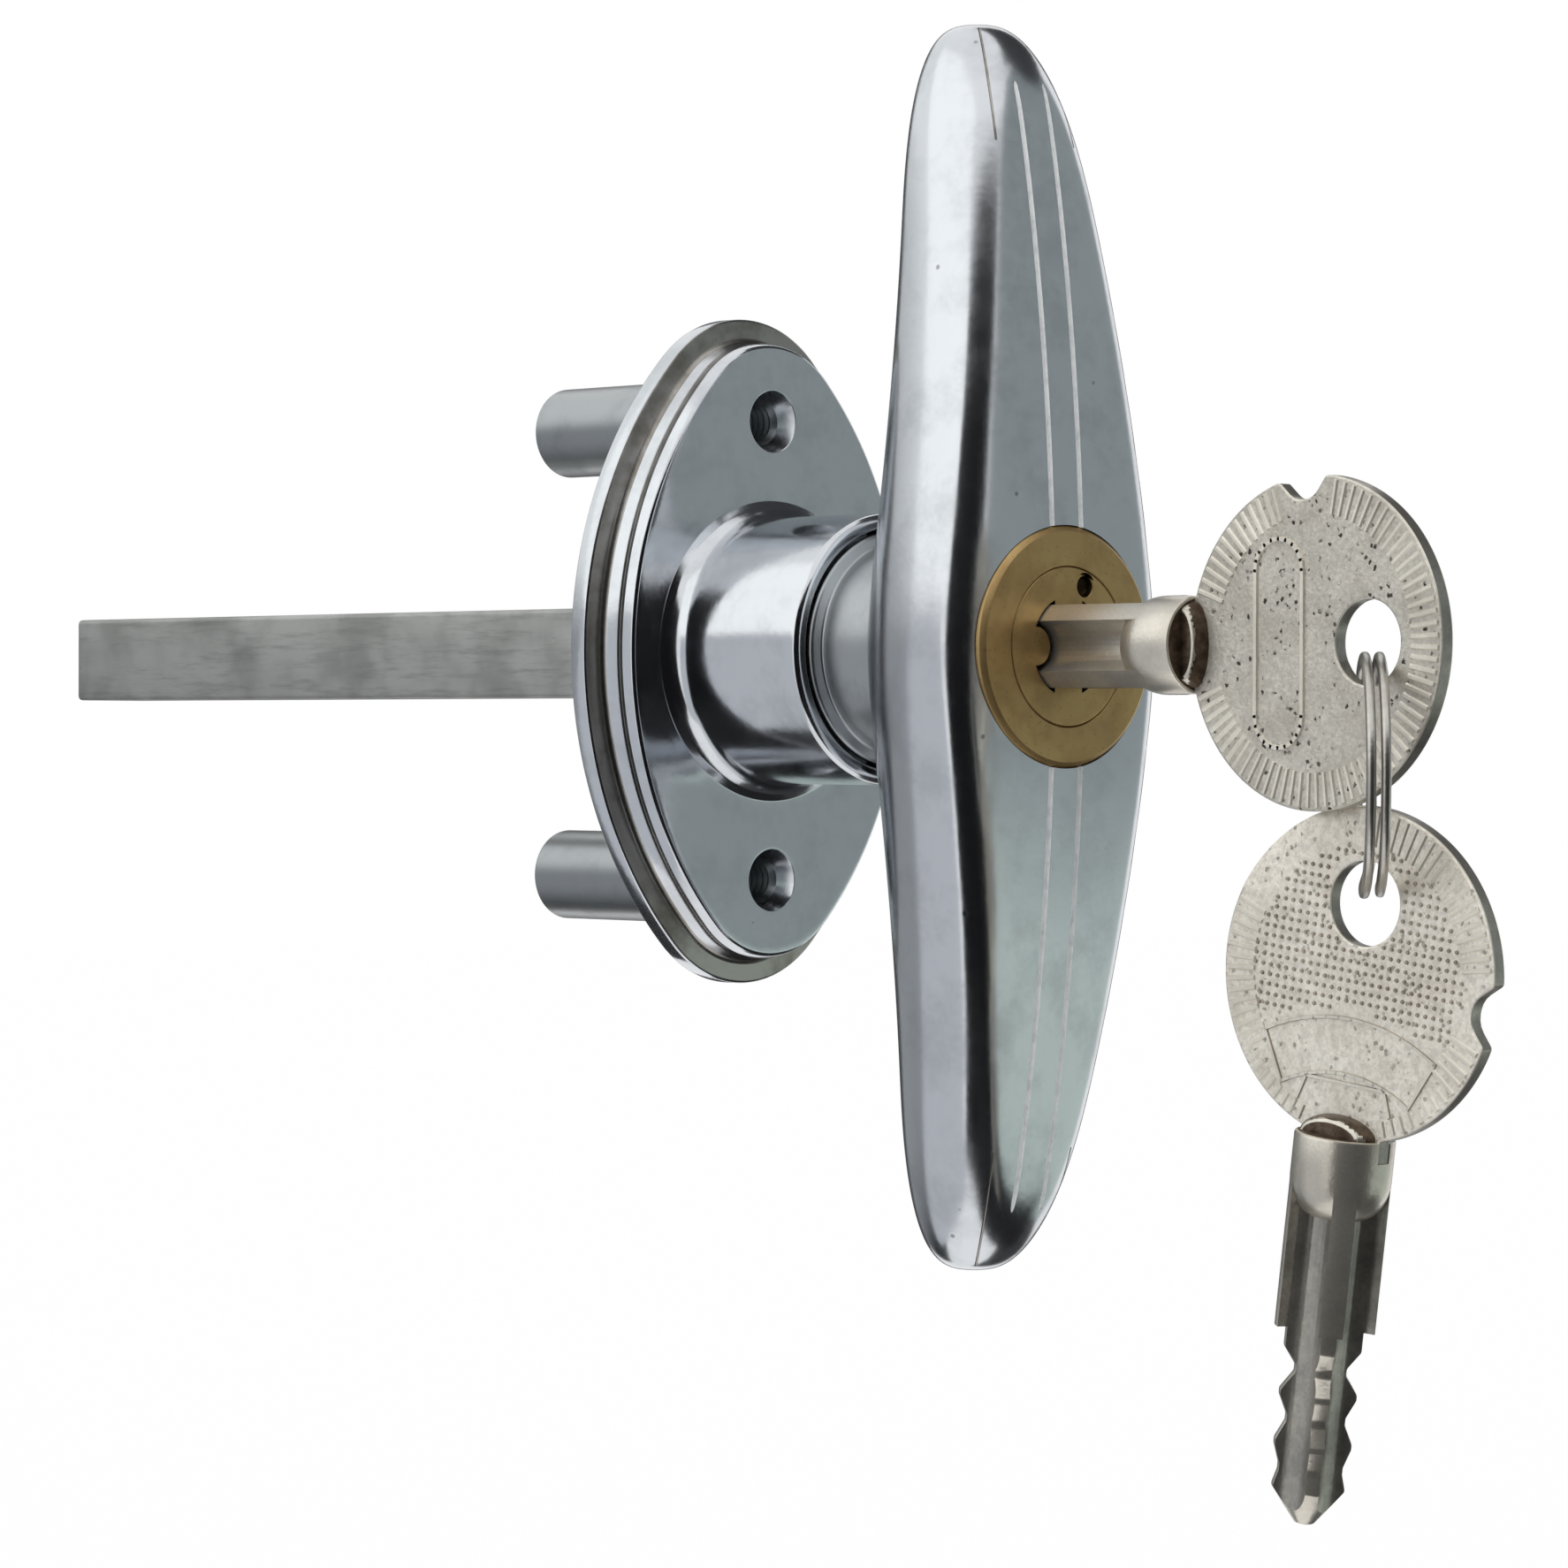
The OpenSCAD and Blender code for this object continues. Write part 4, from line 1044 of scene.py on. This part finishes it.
def make_ring():
    bm = bmesh.new()
    pitch = WIRE_T + RING_GAP
    middle = RING_IN + WIRE_W / 2
    section = bmesh.ops.create_circle(bm, segments=20, radius=0.5)["verts"]
    rotate(bm, section, math.pi / 2, "X")
    for v in section:
        v.co.x = math.copysign(abs(2 * v.co.x) ** 0.75, v.co.x) * WIRE_W / 2
        v.co.z = math.copysign(abs(2 * v.co.z) ** 0.75, v.co.z) * WIRE_T / 2
    move(bm, section, (middle, 0, -pitch / 2))
    rotate(bm, section, RING_LAP, "Z")
    moving = section + bm.edges[:]
    bmesh.ops.contextual_create(bm, geom=bm.edges[:])
    jog_from, jog_to, stop = math.radians(330), math.radians(390), math.radians(720) - RING_LAP
    stages = ((RING_LAP, jog_from, 80, False), (jog_from, jog_to, 20, True), (jog_to, stop, 80, False))
    for start, end, steps, climb in stages:
        for k in range(steps):
            rise = 0.0
            if climb:
                rise = pitch / 2 * (math.cos(math.pi * k / steps) - math.cos(math.pi * (k + 1) / steps))
            moving = bmesh.ops.spin(bm, geom=moving, cent=(0, 0, 0), axis=UP, dvec=(0, 0, rise),
                                    angle=(end - start) / steps, steps=1)["geom_last"]
    bmesh.ops.contextual_create(bm, geom=edges_in(moving))
    place = (Matrix.Scale(MM, 4) @ Matrix.Translation(RING_AT) @ Matrix.Rotation(math.radians(45), 4, "Z")
             @ Matrix.Rotation(math.pi / 2, 4, "X") @ Matrix.Rotation(math.radians(-60), 4, "Z"))
    return settle(bm, "ring_wire", "ring", ring_steel, node="split_ring", place=place, sharp=60)


ring = make_ring()

# %% [markdown]
# Inside the cylinder, twelve small springs push the tumblers inward. They are never seen from
# outside, but the model can be taken apart, so each is a true coil of round wire.

# %% Tumbler springs
COIL_R, COIL_WIRE, COIL_PITCH, COIL_TURNS = 0.5, 0.14, 0.74, 2
SPRING_FOOT = PLUG_R + 0.1 + 1.4 + 0.02


def make_springs():
    bm = bmesh.new()
    for place in TUMBLERS:
        start = len(bm.verts)
        section = bmesh.ops.create_circle(bm, segments=8, radius=COIL_WIRE)["verts"]
        edges = list({e for v in section for e in v.link_edges})
        rotate(bm, section, math.pi / 2, "X")
        move(bm, section, (COIL_R, 0, COIL_WIRE))
        steps = 20 * COIL_TURNS
        bmesh.ops.contextual_create(bm, geom=edges)
        last = bmesh.ops.spin(bm, geom=section + edges, cent=(0, 0, 0), axis=UP, dvec=(0, 0, COIL_PITCH / 20),
                              angle=math.tau * COIL_TURNS, steps=steps)["geom_last"]
        bmesh.ops.contextual_create(bm, geom=edges_in(last))
        bm.verts.ensure_lookup_table()
        bmesh.ops.transform(bm, matrix=place @ Matrix.Translation((0, 0, SPRING_FOOT)), verts=bm.verts[start:])
    return settle(bm, "tumbler_springs", "handle", steel, node="pin_springs", sharp=60)


springs = make_springs()

# %% [markdown]
# The pieces left are the small turned and stamped ones inside and behind the casting. Their CAD
# shape is already right, so each keeps it and only takes its finish.

# %% Inner pieces
INNER = {
    "spindle_pin": steel, "stop_washer": steel, "retaining_ring": steel, "barrel_pin": steel,
    "plug_clip": steel,
    "drive_cam": steel, "locking_bolt": steel, "driver_pins": inner_brass, "key_pins": inner_brass,
}
for name, finish in INNER.items():
    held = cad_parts[name].data.materials
    held.clear()
    held.append(finish)
print("inner pieces:", len(INNER))

# %% [markdown]
# The stage is a pale floor under the lowest key, soft lamps above and to the left, and the cards a
# photographer puts round chrome. A dark one behind the camera gives the black line along the grip's
# ridge. A grey one on the right tones its front face down, and two more there, one high and one low,
# darken its tips. A white one high on the left and a grey one below it give the grip's round back its
# two tones. One dark card in front below and two behind, of which one is shaded from dark to white,
# model the boss, the plate's edge and the posts. The cards glow, so that their tone is exact,
# and are out of the picture. The lamps light the satin metals only: no mirror shows them.

# %% Floor and cards
FLOOR_Z = -0.30


def stage_finish(name, tone, glow, low=None, high=None, band=None):
    """Floor: pale, and white to the camera. Card: a glow of one tone, or of three in bands of height."""
    f = Finish(name)
    drift = f.noise(300, detail=1.0)
    shade = f.mix(drift, (*tone, 1), (*[v * 0.97 for v in tone], 1))
    if low:
        height = f.node("ShaderNodeSeparateXYZ", None, {0: f.place}, out="Z")
        shade = f.mix(height.ramp(*band[:2]), (*low, 1), shade)
        shade = f.mix(height.ramp(*band[2:]), shade, (*high, 1))
    light = f.node("ShaderNodeEmission", None, {"Color": shade if glow else (1, 1, 1, 1), "Strength": 1.0})
    if glow:
        f.end(light)
        return f.material
    plain = f.node("ShaderNodeBsdfDiffuse", None, {"Color": shade})
    seen = f.node("ShaderNodeLightPath", out="Is Camera Ray")
    f.end(f.node("ShaderNodeMixShader", None, {0: seen * 0.99, 1: plain, 2: light}))
    return f.material


def stage_sheet(name, corners, material, seen=True):
    bm = bmesh.new()
    bm.faces.new([bm.verts.new(c) for c in corners])
    mesh = bpy.data.meshes.new(name)
    bm.to_mesh(mesh)
    bm.free()
    mesh.materials.append(material)
    sheet = bpy.data.objects.new(name, mesh)
    bpy.context.scene.collection.objects.link(sheet)
    sheet.visible_camera = seen
    return sheet


def toward(azimuth, elevation):
    """Unit vector from the lock to a side: 0 degrees is straight ahead, 90 is the right."""
    a, e = math.radians(azimuth), math.radians(elevation)
    return Vector((math.sin(a) * math.cos(e), -math.cos(a) * math.cos(e), math.sin(e)))


def card(name, azimuth, elevation, distance, width, height, tone, low=None, high=None, band=None):
    """A flat card that faces the lock from the given side, out of the picture."""
    away = toward(azimuth, elevation)
    across = Vector((0, 0, 1)).cross(away).normalized()
    up = away.cross(across)
    corners = [away * distance + across * width / 2 * i + up * height / 2 * j
               for i, j in ((-1, -1), (1, -1), (1, 1), (-1, 1))]
    return stage_sheet(name, corners, stage_finish(name, tone, True, low, high, band), seen=False)


floor = stage_sheet("floor", [(-6, -6, FLOOR_Z), (6, -6, FLOOR_Z), (6, 6, FLOOR_Z), (-6, 6, FLOOR_Z)],
                    stage_finish("pale_floor", (0.82, 0.82, 0.82), False))
floor.visible_glossy = False
card("dark_card", -26, -9, 1.1, 2.28, 2.0, (0.008, 0.008, 0.009))
card("grey_card", 52, 0, 1.1, 1.3, 2.4, (0.30, 0.335, 0.34),
     low=(0.56, 0.64, 0.60), high=(0.30, 0.335, 0.34), band=(-0.24, -0.06, 0.1, 0.4))
card("left_card", -118, -22.5, 1.1, 1.4, 1.36, (0.58, 0.60, 0.635))
card("white_card", -112, 36, 1.1, 1.6, 1.0, (1.25, 1.27, 1.26))
card("back_card", -166, 0, 1.1, 1.35, 3.0, (0.32, 0.335, 0.35),
     low=(0.035, 0.037, 0.039), high=(0.95, 0.97, 0.97), band=(-0.9, -0.2, 0.02, 0.4))
card("far_card", 137, 0, 1.1, 1.1, 1.0, (0.06, 0.063, 0.066))
card("high_card", 82, 50, 1.1, 1.2, 0.8, (0.05, 0.05, 0.053))
card("low_card", 82, -50, 1.1, 1.2, 0.8, (0.05, 0.05, 0.053))
card("under_card", 12, -50, 0.85, 1.5, 0.62, (0.02, 0.02, 0.021))
print("stage ready")

# %% Lamps and world
def lamp(name, azimuth, elevation, distance, size, power):
    data = bpy.data.lights.new(name, "AREA")
    data.shape, data.size, data.energy = "SQUARE", size, power
    light = bpy.data.objects.new(name, data)
    light.location = toward(azimuth, elevation) * distance
    light.rotation_mode = "QUATERNION"
    light.rotation_quaternion = (-light.location).to_track_quat("-Z", "Y")
    light.visible_camera = light.visible_glossy = False
    bpy.context.scene.collection.objects.link(light)


lamp("top_soft", -50, 70, 1.3, 1.0, 10)
lamp("left_soft", -110, 25, 1.4, 1.2, 26)

world = bpy.data.worlds.new("studio")
bpy.context.scene.world = world
world.use_nodes = True
studio = Finish.__new__(Finish)
studio.tree = world.node_tree
studio.tree.nodes.clear()
camera_ray, glossy_ray, clear_ray = [
    studio.node("ShaderNodeLightPath", out="Is %s Ray" % kind)
    for kind in ("Camera", "Glossy", "Transmission")]
shown = (camera_ray + glossy_ray + clear_ray).math("MINIMUM", camera_ray + glossy_ray + clear_ray, 1.0)
sky = studio.node("ShaderNodeBackground", None, {"Color": (1, 1, 1, 1), "Strength": shown * 0.25 + 0.75})
end = studio.tree.nodes.new("ShaderNodeOutputWorld")
studio.tree.links.new(sky.socket, end.inputs["Surface"])

bpy.context.scene.view_settings.view_transform = "Standard"
print("light ready")
